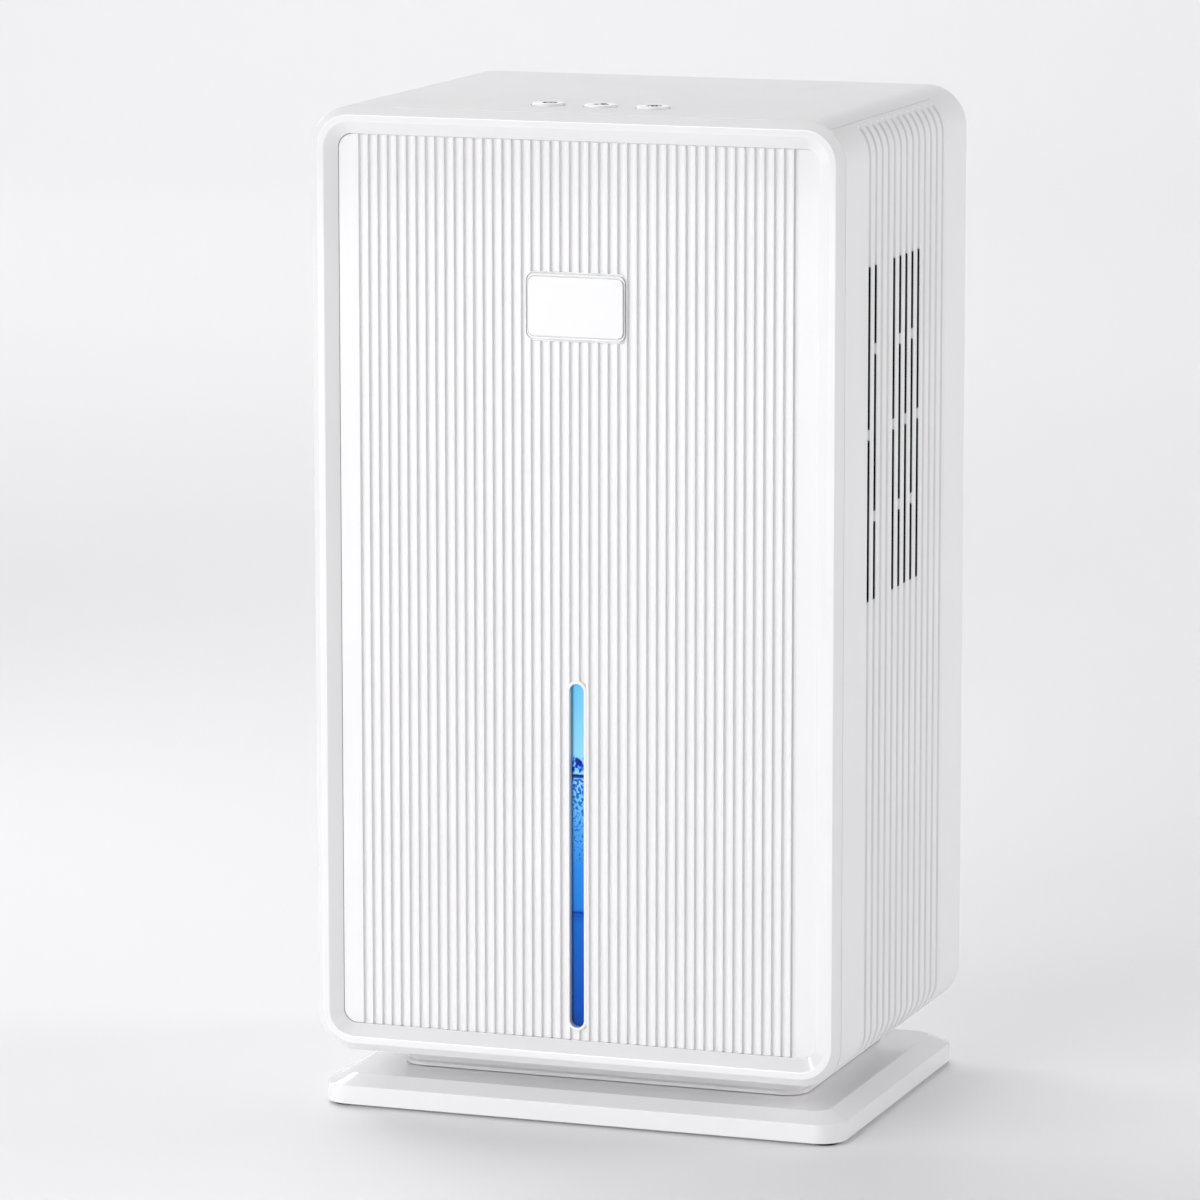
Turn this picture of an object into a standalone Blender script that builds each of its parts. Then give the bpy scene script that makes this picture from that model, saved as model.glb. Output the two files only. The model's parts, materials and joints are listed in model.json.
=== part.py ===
"""Tower dehumidifier, as separate closed solids.

Frame: +Z up, the front faces -Y, the origin is at the middle of the footprint, on the floor.
Every dimension in this file is in millimetres; solid() turns it into metres.
"""

import math

import bmesh
import bpy

MILLIMETRE = 0.001
GAP = 0.3

# Body
BODY_WIDTH = 220.0
BODY_DEPTH = 167.0
BODY_BOTTOM = 24.0
BODY_TOP = 403.2
BODY_CORNER = 16.5
WALL = 2.4
HALF_WIDTH = BODY_WIDTH / 2
FRONT = -BODY_DEPTH / 2
REAR = BODY_DEPTH / 2
CORNER_STEPS = 7

# Front frame: insets are measured inwards from the body's outline, depths back from the front plane
FRAME_CHAMFER_WIDTH = 3.3
FRAME_CHAMFER_DEPTH = 2.7
FRAME_BAND = 2.65
REVEAL_WIDTH = 5.0
REVEAL_DEPTH = 3.4
FRAME_LIP_DEPTH = 4.4
FRAME_SPIGOT_DEPTH = 7.5
OPENING_INSET = FRAME_CHAMFER_WIDTH + FRAME_BAND + REVEAL_WIDTH
PANEL_INSET = 8.0
SHELL_FRONT = FRONT + FRAME_CHAMFER_DEPTH + GAP

# Fluted front panel
FLUTE_PITCH = 3.986
FLUTE_COUNT = 46
FIRST_FLUTE = -90.6
RIB_WIDTH = 1.15
RIB_TOP = FRONT + REVEAL_DEPTH + 0.1
PANEL_FACE = FRONT + FRAME_LIP_DEPTH + GAP
PANEL_BACK = FRONT + 7.0
OPENING_CLEARANCE = 0.25

# Badge and level window, both on the panel's centre line
BADGE_CENTRE = 327.4
BADGE_WIDTH = 40.5
BADGE_HEIGHT = 25.6
BADGE_CORNER = 3.0
BADGE_PROUD = 0.7
WINDOW_RADIUS = 2.85
WINDOW_BOTTOM = 40.2
WINDOW_TOP = 178.3
WINDOW_COLLAR = 1.1

# Side shells, with their grooves and intake slots
REAR_SEAM = 53.3
SHELL_REAR = REAR_SEAM - GAP
TOP_SEAM_ANGLE = 36.0
GROOVE_COUNT = 13
GROOVE_PITCH = 8.175
GROOVE_WIDTH = 3.2
GROOVE_FLOOR = 1.8
GROOVE_DEPTH = 1.3
GROOVE_END_ANGLE = 43.0
SLOT_WIDTH = 3.2
SLOT_BOTTOM = 212.0
SLOT_TOP = 344.0
SLOT_BRIDGE = 4.0
ONE_BRIDGE_SLOTS = (0, 4, 6, 8)
TWO_BRIDGE_SLOTS = (1, 5, 7)
SLEEVE_WALL = 0.5
SLEEVE_GAP = 0.2
SLEEVE_TOP = HALF_WIDTH - 0.3

# Lugs inside the side shells, for the rear cover's screws
REAR_SCREW_X = 99.0
REAR_SCREW_Z = (212.0, 372.0)
LUG_INNER = 93.0
LUG_FRONT = 43.0
LUG_BACK = 52.0
LUG_HEIGHT = 11.0

# Controls on the top
BUTTON_PITCH = 21.7
BUTTON_Y = FRONT + 32.5
BUTTON_RADIUS = 6.6
BUTTON_HOLE = 7.0
BUTTON_PROUD = 0.8
BUTTON_TRAVEL = 0.8
BOARD_BOTTOM = 388.0
BOARD_THICKNESS = 1.6
SWITCH_HEIGHT = 3.5

# Cooling stack, on the axis of the fan
FAN_CENTRE = (SLOT_BOTTOM + SLOT_TOP) / 2
FAN_SIZE = 80.0
FAN_FRONT = 16.0
FAN_REAR = 41.0
FAN_BORE = 38.0
FAN_SCREW_PITCH = 71.5
ROTOR_HUB = 16.5
ROTOR_TIP = 36.8
BLADE_COUNT = 7
BEARING_OUTER = 3.6
BEARING_INNER = 1.75
STATOR_OUTER = 12.5
BULKHEAD_FRONT = -21.7
BULKHEAD_BACK = -18.3
COLD_BASE = 60.0
HOT_BASE = 90.0

# Tank bay
DECK_BOTTOM = 193.0
DECK_THICKNESS = 2.4
TANK_HALF_WIDTH = 89.0
TANK_FRONT = -66.0
TANK_BACK = 64.0
TANK_BOTTOM = 33.4
TANK_TOP = 187.0
TANK_WALL = 2.2
LID_THICKNESS = 2.0
FASCIA_HALF_WIDTH = 93.6
FASCIA_TOP = 189.6
FASCIA_CORNER = 5.0
GRIP_HALF_WIDTH = 34.0
GRIP_BOTTOM = 140.0
GRIP_TOP = 168.0
GRIP_CORNER = 6.0
GRIP_WALL = 2.0
SPOUT_Y = -43.0
INLET_PLACE = (76.0, 210.0)
FLOAT_CENTRE = (62.0, 36.0)
FLOAT_SIZE = 22.0
FLOAT_BOTTOM = 155.9
FLOAT_HEIGHT = 14.0

# Base
BASE_HALF_WIDTH = 109.5
BASE_FRONT = FRONT + 2.5
BASE_REAR = 79.6
BASE_BOTTOM = 1.2
BASE_EDGE_TOP = 8.8
BASE_SLOPE_WIDTH = 8.0
BASE_SLOPE_RISE = 3.7
BASE_TOP = BASE_EDGE_TOP + BASE_SLOPE_RISE
BASE_CORNER = 11.0
NECK_HALF_WIDTH = 84.0
NECK_FRONT = -52.0
NECK_REAR = 58.0
NECK_CORNER = 8.0
FOOT_RADIUS = 5.5
SCREW_RADIUS = 1.9
SCREW_HOLE = 2.25
SCREW_HEAD = 3.6
BASE_SCREW_X = 70.0
BASE_SCREW_Y = (-38.0, 44.0)

WHITE = (0.86, 0.86, 0.87)


def make_material(name, color, roughness, metallic=0.0, alpha=1.0):
    material = bpy.data.materials.new(name)
    material.use_nodes = True
    shader = material.node_tree.nodes["Principled BSDF"]
    shader.inputs["Base Color"].default_value = (*color, 1.0)
    shader.inputs["Roughness"].default_value = roughness
    shader.inputs["Metallic"].default_value = metallic
    shader.inputs["Alpha"].default_value = alpha
    return material


def make_materials():
    return {
        "gloss_white": make_material("gloss_white", WHITE, 0.25),
        "satin_white": make_material("satin_white", WHITE, 0.4),
        "badge_white": make_material("badge_white", (0.9, 0.9, 0.91), 0.2),
        "dark_plastic": make_material("dark_plastic", (0.03, 0.03, 0.035), 0.6),
        "inner_plastic": make_material("inner_plastic", (0.6, 0.6, 0.62), 0.55),
        "blue_lens": make_material("blue_lens", (0.05, 0.35, 0.9), 0.1),
        "clear_tank": make_material("clear_tank", (0.75, 0.85, 0.95), 0.1, 0.0, 0.4),
        "diffuser": make_material("diffuser", (0.85, 0.9, 0.95), 0.5),
        "circuit_board": make_material("circuit_board", (0.03, 0.2, 0.08), 0.5),
        "aluminium": make_material("aluminium", (0.7, 0.7, 0.72), 0.35, 1.0),
        "steel": make_material("steel", (0.55, 0.55, 0.57), 0.3, 1.0),
        "brass": make_material("brass", (0.75, 0.55, 0.25), 0.3, 1.0),
        "copper": make_material("copper", (0.8, 0.4, 0.25), 0.35, 1.0),
        "ceramic": make_material("ceramic", (0.9, 0.9, 0.88), 0.5),
        "foam": make_material("foam", (0.08, 0.08, 0.09), 0.9),
        "rubber": make_material("rubber", (0.05, 0.05, 0.05), 0.8),
        "float_foam": make_material("float_foam", (0.85, 0.55, 0.2), 0.7),
        "magnet": make_material("magnet", (0.3, 0.3, 0.32), 0.4, 1.0),
    }


# Shapes are pairs of vertices and faces, in millimetres

def arc(centre, radius, start, end, steps):
    """Points on an arc in a plane, with angles in degrees from the plane's first axis."""
    points = []
    for step in range(steps + 1):
        angle = math.radians(start + (end - start) * step / steps)
        points.append((centre[0] + radius * math.cos(angle), centre[1] + radius * math.sin(angle)))
    return points


def rounded_rectangle(low, high, radius, steps=CORNER_STEPS):
    """Outline between two opposite corners, anticlockwise from the lower right corner."""
    corners = (
        ((high[0] - radius, low[1] + radius), -90.0),
        ((high[0] - radius, high[1] - radius), 0.0),
        ((low[0] + radius, high[1] - radius), 90.0),
        ((low[0] + radius, low[1] + radius), 180.0),
    )
    points = []
    for centre, start in corners:
        points += arc(centre, radius, start, start + 90.0, steps)
    return points


def stadium(radius, low, high, steps=8):
    """Upright slot outline with round ends, centred on the vertical axis."""
    upper = arc((0.0, high - radius), radius, 0.0, 180.0, steps)
    lower = arc((0.0, low + radius), radius, 180.0, 360.0, steps)
    return upper + lower


def body_outline(inset, steps=CORNER_STEPS):
    """The body's outline seen from the front, moved inwards."""
    low = (-HALF_WIDTH + inset, BODY_BOTTOM + inset)
    high = (HALF_WIDTH - inset, BODY_TOP - inset)
    return rounded_rectangle(low, high, BODY_CORNER - inset, steps)


def lift(outline, level, axis):
    """Place a flat outline at a level on an axis."""
    if axis == "X":
        return [(level, a, b) for a, b in outline]
    if axis == "Y":
        return [(a, level, b) for a, b in outline]
    return [(a, b, level) for a, b in outline]


def loft(sections, ring=False):
    """Skin a row of outlines of equal length; a ring closes on itself, anything else is capped."""
    count = len(sections[0])
    vertices = [point for section in sections for point in section]
    faces = []
    spans = len(sections) if ring else len(sections) - 1
    for span in range(spans):
        first = span * count
        second = ((span + 1) % len(sections)) * count
        for index in range(count):
            after = (index + 1) % count
            faces.append((first + index, first + after, second + after, second + index))
    if not ring:
        faces.append(tuple(range(count)))
        last = (len(sections) - 1) * count
        faces.append(tuple(last + index for index in range(count)))
    return vertices, faces


def prism(outline, low, high, axis):
    return loft([lift(outline, low, axis), lift(outline, high, axis)])


def block(low, high):
    outline = [(low[0], low[1]), (high[0], low[1]), (high[0], high[1]), (low[0], high[1])]
    return prism(outline, low[2], high[2], "Z")


def rod(centre, radius, low, high, axis, steps=16):
    """Round bar along an axis; centre is its place on the other two axes."""
    outline = arc(centre, radius, 0.0, 360.0 - 360.0 / steps, steps - 1)
    return prism(outline, low, high, axis)


def turned(profile, centre, axis, steps=24):
    """Turn (radius, level) points about an axis; the first and the last lie on it."""
    sections = []
    for radius, level in profile[1:-1]:
        outline = arc(centre, radius, 0.0, 360.0 - 360.0 / steps, steps - 1)
        sections.append(lift(outline, level, axis))
    return loft(sections)


def together(*shapes):
    """Several shapes as one list of vertices and faces."""
    vertices = []
    faces = []
    for shape_vertices, shape_faces in shapes:
        start = len(vertices)
        vertices += shape_vertices
        faces += [tuple(start + index for index in face) for face in shape_faces]
    return vertices, faces


def solid(name, shape, material, origin=(0.0, 0.0, 0.0)):
    """Make an object, with its origin at a point, from a shape."""
    vertices, faces = shape
    mesh = bpy.data.meshes.new(name)
    placed = [tuple((v[i] - origin[i]) * MILLIMETRE for i in range(3)) for v in vertices]
    mesh.from_pydata(placed, [], faces)
    edit = bmesh.new()
    edit.from_mesh(mesh)
    bmesh.ops.recalc_face_normals(edit, faces=edit.faces)
    edit.to_mesh(mesh)
    edit.free()
    if material:
        mesh.materials.append(material)
    thing = bpy.data.objects.new(name, mesh)
    thing.location = [value * MILLIMETRE for value in origin]
    bpy.context.scene.collection.objects.link(thing)
    return thing


def combine(thing, operation, shape):
    """Join a shape to an object, or cut it away, and keep the result as the object's own mesh."""
    tool = solid("tool", shape, None)
    step = thing.modifiers.new("step", "BOOLEAN")
    step.operation = operation
    step.solver = "EXACT"
    step.object = tool
    bpy.context.view_layer.update()
    graph = bpy.context.evaluated_depsgraph_get()
    result = bpy.data.meshes.new_from_object(thing.evaluated_get(graph))
    old = thing.data
    result.name = thing.name
    thing.modifiers.clear()
    thing.data = result
    bpy.data.meshes.remove(old)
    bpy.data.objects.remove(tool)
    return thing


def join(thing, *shapes):
    for shape in shapes:
        combine(thing, "UNION", shape)
    return thing


def cut(thing, *shapes):
    return combine(thing, "DIFFERENCE", together(*shapes))


# Front

def make_front_frame(materials):
    """A ring with a chamfer outside, a flat band, a sloping reveal inside and a spigot behind."""
    band_outer = FRAME_CHAMFER_WIDTH
    band_inner = FRAME_CHAMFER_WIDTH + FRAME_BAND
    spigot = WALL + GAP
    rebate = PANEL_INSET - GAP
    section = (
        (0.0, FRAME_CHAMFER_DEPTH),
        (band_outer, 0.0),
        (band_inner, 0.0),
        (OPENING_INSET, REVEAL_DEPTH),
        (OPENING_INSET, FRAME_LIP_DEPTH),
        (rebate, FRAME_LIP_DEPTH),
        (rebate, FRAME_SPIGOT_DEPTH),
        (spigot, FRAME_SPIGOT_DEPTH),
        (spigot, FRAME_CHAMFER_DEPTH),
    )
    rings = [lift(body_outline(inset), FRONT + depth, "Y") for inset, depth in section]
    solid("front_frame", loft(rings, ring=True), materials["gloss_white"])


def flute_bars():
    """The plain raised margin on the left, then one narrow rib for each further flute."""
    margin_left = -HALF_WIDTH + OPENING_INSET + OPENING_CLEARANCE
    low_z = BODY_BOTTOM + OPENING_INSET + OPENING_CLEARANCE
    high_z = BODY_TOP - OPENING_INSET - OPENING_CLEARANCE
    corner = BODY_CORNER - OPENING_INSET
    root = PANEL_FACE + 0.8
    margin = [(FIRST_FLUTE, low_z), (FIRST_FLUTE, high_z)]
    margin += arc((margin_left + corner, high_z - corner), corner, 90.0, 180.0, 5)
    margin += arc((margin_left + corner, low_z + corner), corner, 180.0, 270.0, 5)
    bars = [prism(margin, RIB_TOP, root, "Y")]
    for index in range(1, FLUTE_COUNT):
        right = FIRST_FLUTE + index * FLUTE_PITCH
        bars.append(block((right - RIB_WIDTH, RIB_TOP, low_z), (right, root, high_z)))
    return together(*bars)


def badge_outline(grow):
    low = (-BADGE_WIDTH / 2 - grow, BADGE_CENTRE - BADGE_HEIGHT / 2 - grow)
    high = (BADGE_WIDTH / 2 + grow, BADGE_CENTRE + BADGE_HEIGHT / 2 + grow)
    return rounded_rectangle(low, high, BADGE_CORNER + grow, 5)


def make_front_panel(materials):
    slab = prism(body_outline(PANEL_INSET), PANEL_FACE, PANEL_BACK, "Y")
    panel = solid("front_panel", slab, materials["gloss_white"])
    join(panel, flute_bars())
    root = PANEL_FACE + 0.6
    collar = stadium(WINDOW_RADIUS + GAP + WINDOW_COLLAR, WINDOW_BOTTOM - WINDOW_COLLAR, WINDOW_TOP + WINDOW_COLLAR)
    join(panel, prism(collar, RIB_TOP - 0.1, root, "Y"))
    join(panel, prism(badge_outline(1.0), RIB_TOP - 0.2, root, "Y"))
    window = stadium(WINDOW_RADIUS + GAP, WINDOW_BOTTOM - GAP, WINDOW_TOP + GAP)
    cut(panel, prism(window, FRONT, PANEL_BACK + 1.0, "Y"))
    cut(panel, prism(badge_outline(GAP), FRONT, RIB_TOP + 0.7, "Y"))


def make_badge_plate(materials):
    """A blank plate with a bevelled rim."""
    face = RIB_TOP - BADGE_PROUD
    back = RIB_TOP + 0.4
    rings = [
        lift(badge_outline(0.0), back, "Y"),
        lift(badge_outline(0.0), face + 0.4, "Y"),
        lift(badge_outline(-0.4), face, "Y"),
    ]
    solid("badge_plate", loft(rings), materials["badge_white"])


def make_level_window(materials):
    face = RIB_TOP + 0.3
    shoulder = PANEL_BACK + GAP
    flange = 3.2
    rings = [
        lift(stadium(WINDOW_RADIUS, WINDOW_BOTTOM, WINDOW_TOP), face, "Y"),
        lift(stadium(WINDOW_RADIUS, WINDOW_BOTTOM, WINDOW_TOP), shoulder, "Y"),
        lift(stadium(WINDOW_RADIUS + flange, WINDOW_BOTTOM - flange, WINDOW_TOP + flange), shoulder, "Y"),
        lift(stadium(WINDOW_RADIUS + flange, WINDOW_BOTTOM - flange, WINDOW_TOP + flange), shoulder + 0.8, "Y"),
    ]
    solid("window_lens", loft(rings), materials["blue_lens"])
    guide_front = shoulder + 0.8 + GAP
    guide_back = guide_front + 3.0
    guide = prism(stadium(5.0, WINDOW_BOTTOM - 4.0, WINDOW_TOP + 4.0), guide_front, guide_back, "Y")
    solid("light_guide", guide, materials["diffuser"])
    board_front = guide_back + GAP
    board = block((-8.0, board_front, WINDOW_BOTTOM - 5.0),
                  (8.0, board_front + BOARD_THICKNESS, WINDOW_TOP + 6.0))
    solid("level_light_board", board, materials["circuit_board"])


# Sides

def side_angles():
    """Angles down the shell's corners, from straight up; the flat side lies between the two halves."""
    top = [TOP_SEAM_ANGLE, GROOVE_END_ANGLE, GROOVE_END_ANGLE + 4.0, 58.0, 69.0, 80.0, 90.0]
    bottom = [180.0 - angle for angle in reversed(top[1:])] + [150.0, 165.0, 180.0]
    return top, bottom


def shell_point(angle, upper, inset, side):
    """A point on the rounded corner of the body, seen from the front."""
    radius = BODY_CORNER - inset
    centre_x = HALF_WIDTH - BODY_CORNER
    centre_z = BODY_TOP - BODY_CORNER if upper else BODY_BOTTOM + BODY_CORNER
    turn = math.radians(angle)
    return side * (centre_x + radius * math.sin(turn)), centre_z + radius * math.cos(turn)


def groove_centre(index):
    return (index - (GROOVE_COUNT - 1) / 2) * GROOVE_PITCH


def shell_levels():
    """Levels along the depth of a shell, each with the share of the groove's depth there."""
    levels = [(SHELL_FRONT, 0.0)]
    for index in range(GROOVE_COUNT):
        centre = groove_centre(index)
        levels.append((centre - GROOVE_WIDTH / 2, 0.0))
        levels.append((centre - GROOVE_FLOOR / 2, 1.0))
        levels.append((centre + GROOVE_FLOOR / 2, 1.0))
        levels.append((centre + GROOVE_WIDTH / 2, 0.0))
    levels.append((SHELL_REAR, 0.0))
    return levels


def shell_shape(side):
    """A curved wall whose grooves fade out just short of the seam on the top and on the bottom."""
    top, bottom = side_angles()
    stations = [(angle, True) for angle in top] + [(angle, False) for angle in bottom]
    levels = shell_levels()
    vertices = []
    faces = []
    for angle, upper in stations:
        grooved = GROOVE_END_ANGLE < angle < 180.0 - GROOVE_END_ANGLE
        for y, share in levels:
            inset = GROOVE_DEPTH * share if grooved else 0.0
            x, z = shell_point(angle, upper, inset, side)
            vertices.append((x, y, z))
    width = len(levels)
    rows = len(stations)
    for row in range(rows - 1):
        for column in range(width - 1):
            corner = row * width + column
            faces.append((corner, corner + 1, corner + width + 1, corner + width))
    inner = len(vertices)
    for angle, upper in stations:
        x, z = shell_point(angle, upper, WALL, side)
        vertices.append((x, SHELL_FRONT, z))
        vertices.append((x, SHELL_REAR, z))
    for row in range(rows - 1):
        here = inner + 2 * row
        faces.append((here, here + 1, here + 3, here + 2))
        faces.append((row * width, (row + 1) * width, here + 2, here))
        faces.append((row * width + width - 1, (row + 1) * width + width - 1, here + 3, here + 1))
    last = (rows - 1) * width
    faces.append(tuple(range(width)) + (inner + 1, inner))
    faces.append(tuple(range(last, last + width)) + (inner + 2 * rows - 1, inner + 2 * rows - 2))
    return vertices, faces


def slot_spans():
    """(groove centre, bottom, top) of every slot opening on one side."""
    spans = []
    for index in sorted(ONE_BRIDGE_SLOTS + TWO_BRIDGE_SLOTS):
        shares = (0.5,) if index in ONE_BRIDGE_SLOTS else (0.25, 0.75)
        low = SLOT_BOTTOM
        for share in shares:
            bridge = SLOT_BOTTOM + (SLOT_TOP - SLOT_BOTTOM) * share
            spans.append((groove_centre(index), low, bridge - SLOT_BRIDGE / 2))
            low = bridge + SLOT_BRIDGE / 2
        spans.append((groove_centre(index), low, SLOT_TOP))
    return spans


def side_block(side, inner, outer, front, back, low, high):
    """A block given by its distances from the middle plane, on either side."""
    near = min(side * inner, side * outer)
    far = max(side * inner, side * outer)
    return block((near, front, low), (far, back, high))


def rear_screw_places():
    return [(side * REAR_SCREW_X, z) for side in (-1, 1) for z in REAR_SCREW_Z]


def make_side_shell(name, side, materials):
    shell = solid(name, shell_shape(side), materials["satin_white"])
    slots = []
    for centre, low, high in slot_spans():
        half = SLOT_WIDTH / 2
        slots.append(side_block(side, 100.0, 115.0, centre - half, centre + half, low, high))
    cut(shell, *slots)
    lugs = []
    holes = []
    for x, z in rear_screw_places():
        if x * side > 0:
            lugs.append(side_block(side, LUG_INNER, HALF_WIDTH - 1.0, LUG_FRONT, LUG_BACK,
                                   z - LUG_HEIGHT / 2, z + LUG_HEIGHT / 2))
            holes.append(rod((x, z), SCREW_HOLE, LUG_FRONT - 1.0, LUG_BACK + 2.0, "Y", 12))
    join(shell, *lugs)
    cut(shell, *holes)


def make_intake_grille(name, side, materials):
    """A dark plate behind the slots, with a hollow sleeve standing in each slot opening."""
    back = HALF_WIDTH - WALL - GAP
    plate_front = groove_centre(0) - 4.0
    plate_back = groove_centre(8) + 4.0
    plate = side_block(side, back - 1.4, back, plate_front, plate_back, SLOT_BOTTOM - 5.0, SLOT_TOP + 5.0)
    grille = solid(name, plate, materials["dark_plastic"])
    sleeves = []
    openings = []
    half = SLOT_WIDTH / 2 - SLEEVE_GAP
    inside = half - SLEEVE_WALL
    inset = SLEEVE_GAP + SLEEVE_WALL
    for centre, low, high in slot_spans():
        sleeves.append(side_block(side, back - 0.7, SLEEVE_TOP, centre - half, centre + half,
                                  low + SLEEVE_GAP, high - SLEEVE_GAP))
        openings.append(side_block(side, back - 3.0, HALF_WIDTH + 2.0, centre - inside, centre + inside,
                                   low + inset, high - inset))
    join(grille, together(*sleeves))
    cut(grille, *openings)


# Top

def button_places():
    return [("power", -BUTTON_PITCH), ("mode", 0.0), ("light", BUTTON_PITCH)]


def make_top_panel(materials):
    """The flat top with both its curved edges, three button holes and four posts for the board."""
    angles = [TOP_SEAM_ANGLE * (1.0 - step / 4) for step in range(5)]
    seam = math.degrees(GAP / BODY_CORNER)
    outer = [shell_point(angle - seam, True, 0.0, 1) for angle in angles[:-1]]
    outer.append(shell_point(0.0, True, 0.0, 1))
    outer += [(-x, z) for x, z in reversed(outer)]
    inner = [shell_point(angle - seam, True, WALL, 1) for angle in angles[:-1]]
    inner.append(shell_point(0.0, True, WALL, 1))
    inner += [(-x, z) for x, z in reversed(inner)]
    outline = outer + list(reversed(inner))
    panel = solid("top_panel", prism(outline, SHELL_FRONT, SHELL_REAR, "Y"), materials["satin_white"])
    posts = []
    for x in (-38.0, 38.0):
        for y in (-66.0, -36.0):
            posts.append(rod((x, y), 3.0, BOARD_BOTTOM + BOARD_THICKNESS + GAP, BODY_TOP - 1.0, "Z", 10))
    join(panel, together(*posts))
    cut(panel, *[rod((x, BUTTON_Y), BUTTON_HOLE, BODY_TOP - 5.0, BODY_TOP + 5.0, "Z", 28)
                 for _, x in button_places()])


def make_controls(materials):
    board = block((-45.0, -72.0, BOARD_BOTTOM), (45.0, -30.0, BOARD_BOTTOM + BOARD_THICKNESS))
    solid("control_board", board, materials["circuit_board"])
    switch_bottom = BOARD_BOTTOM + BOARD_THICKNESS + GAP
    switch_top = switch_bottom + SWITCH_HEIGHT
    plunger_top = switch_top + 0.9
    stem_bottom = plunger_top + BUTTON_TRAVEL + GAP
    underside = BODY_TOP - WALL
    for name, x in button_places():
        body = block((x - 3.0, BUTTON_Y - 3.0, switch_bottom), (x + 3.0, BUTTON_Y + 3.0, switch_top))
        switch = solid(name + "_switch", body, materials["dark_plastic"])
        join(switch, rod((x, BUTTON_Y), 1.6, switch_top - 0.5, plunger_top, "Z", 12))
        top = BODY_TOP + BUTTON_PROUD
        profile = (
            (0.0, stem_bottom),
            (1.8, stem_bottom),
            (1.8, underside - GAP - 1.5),
            (8.2, underside - GAP - 1.5),
            (8.2, underside - GAP),
            (BUTTON_RADIUS, underside - GAP),
            (BUTTON_RADIUS, top - 0.6),
            (BUTTON_RADIUS - 0.6, top),
            (0.0, top),
        )
        button = turned(profile, (x, BUTTON_Y), "Z", 24)
        solid(name + "_button", button, materials["gloss_white"], (x, BUTTON_Y, top))


# Rear

def make_rear_cover(materials):
    """A tray that closes the back, with the exhaust slots, the tank's opening and the inlet's hole."""
    edge = 2.2
    rings = [
        lift(body_outline(WALL), REAR - WALL, "Y"),
        lift(body_outline(WALL), REAR_SEAM, "Y"),
        lift(body_outline(0.0), REAR_SEAM, "Y"),
        lift(body_outline(0.0), REAR - edge, "Y"),
        lift(body_outline(edge * 0.3), REAR - edge * 0.3, "Y"),
        lift(body_outline(edge), REAR, "Y"),
    ]
    cover = solid("rear_cover", loft(rings), materials["satin_white"])
    wall_front = REAR - WALL - 2.0
    bosses = [rod(place, 5.0, SHELL_REAR + 4.0, REAR - 1.0, "Y", 12) for place in rear_screw_places()]
    join(cover, together(*bosses))
    slots = []
    for column in range(-4, 5):
        x = column * GROOVE_PITCH
        reach = math.sqrt(FAN_BORE ** 2 - x ** 2)
        for low, high in ((FAN_CENTRE - reach, FAN_CENTRE - 2.0), (FAN_CENTRE + 2.0, FAN_CENTRE + reach)):
            slots.append(block((x - 2.2, wall_front, low), (x + 2.2, REAR + 1.0, high)))
    cut(cover, *slots)
    clear = 0.4
    tank_low = (-FASCIA_HALF_WIDTH - clear, TANK_BOTTOM - clear)
    tank_high = (FASCIA_HALF_WIDTH + clear, FASCIA_TOP + clear)
    tank_hole = rounded_rectangle(tank_low, tank_high, FASCIA_CORNER + clear, 5)
    holes = [prism(tank_hole, wall_front, REAR + 1.0, "Y"), rod(INLET_PLACE, 5.0, wall_front, REAR + 1.0, "Y")]
    for place in rear_screw_places():
        holes.append(rod(place, SCREW_HOLE, SHELL_REAR, REAR - 1.5, "Y", 10))
        holes.append(rod(place, SCREW_HEAD + GAP, REAR - 2.0, REAR + 1.0, "Y", 16))
    for hole in holes:
        cut(cover, hole)


def make_screw(name, place, head_level, tip_level, axis, materials):
    """A pan-head screw along an axis; the head lies from head_level towards the outside."""
    away = 1.0 if head_level > tip_level else -1.0
    profile = (
        (0.0, head_level + away * 1.5),
        (SCREW_HEAD - 0.8, head_level + away * 1.5),
        (SCREW_HEAD, head_level + away * 0.7),
        (SCREW_HEAD, head_level),
        (SCREW_RADIUS, head_level),
        (SCREW_RADIUS, tip_level),
        (0.0, tip_level),
    )
    solid(name, turned(profile, place, axis, 12), materials["steel"])


def make_rear_fittings(materials):
    for number, place in enumerate(rear_screw_places(), 1):
        make_screw("rear_screw_%d" % number, place, REAR - 1.9, 45.0, "Y", materials)
    mouth = REAR - 0.2
    profile = (
        (0.0, REAR - 3.0),
        (0.9, REAR - 3.0),
        (0.9, REAR - 11.0),
        (3.0, REAR - 11.0),
        (3.0, mouth),
        (4.7, mouth),
        (4.7, REAR - 14.0),
        (0.0, REAR - 14.0),
    )
    solid("power_inlet", turned(profile, INLET_PLACE, "Y", 16), materials["dark_plastic"])
    half = FAN_SIZE / 2 + 5.0
    wall = 2.0
    outer = rounded_rectangle((-half, FAN_CENTRE - half), (half, FAN_CENTRE + half), 6.0, 3)
    inner = rounded_rectangle((-half + wall, FAN_CENTRE - half + wall),
                              (half - wall, FAN_CENTRE + half - wall), 4.0, 3)
    front = FAN_REAR + GAP + 1.8
    back = REAR - WALL - GAP
    rings = [lift(outer, front, "Y"), lift(outer, back, "Y"), lift(inner, back, "Y"), lift(inner, front, "Y")]
    solid("exhaust_duct", loft(rings, ring=True), materials["inner_plastic"])


# Cooling stack

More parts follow.
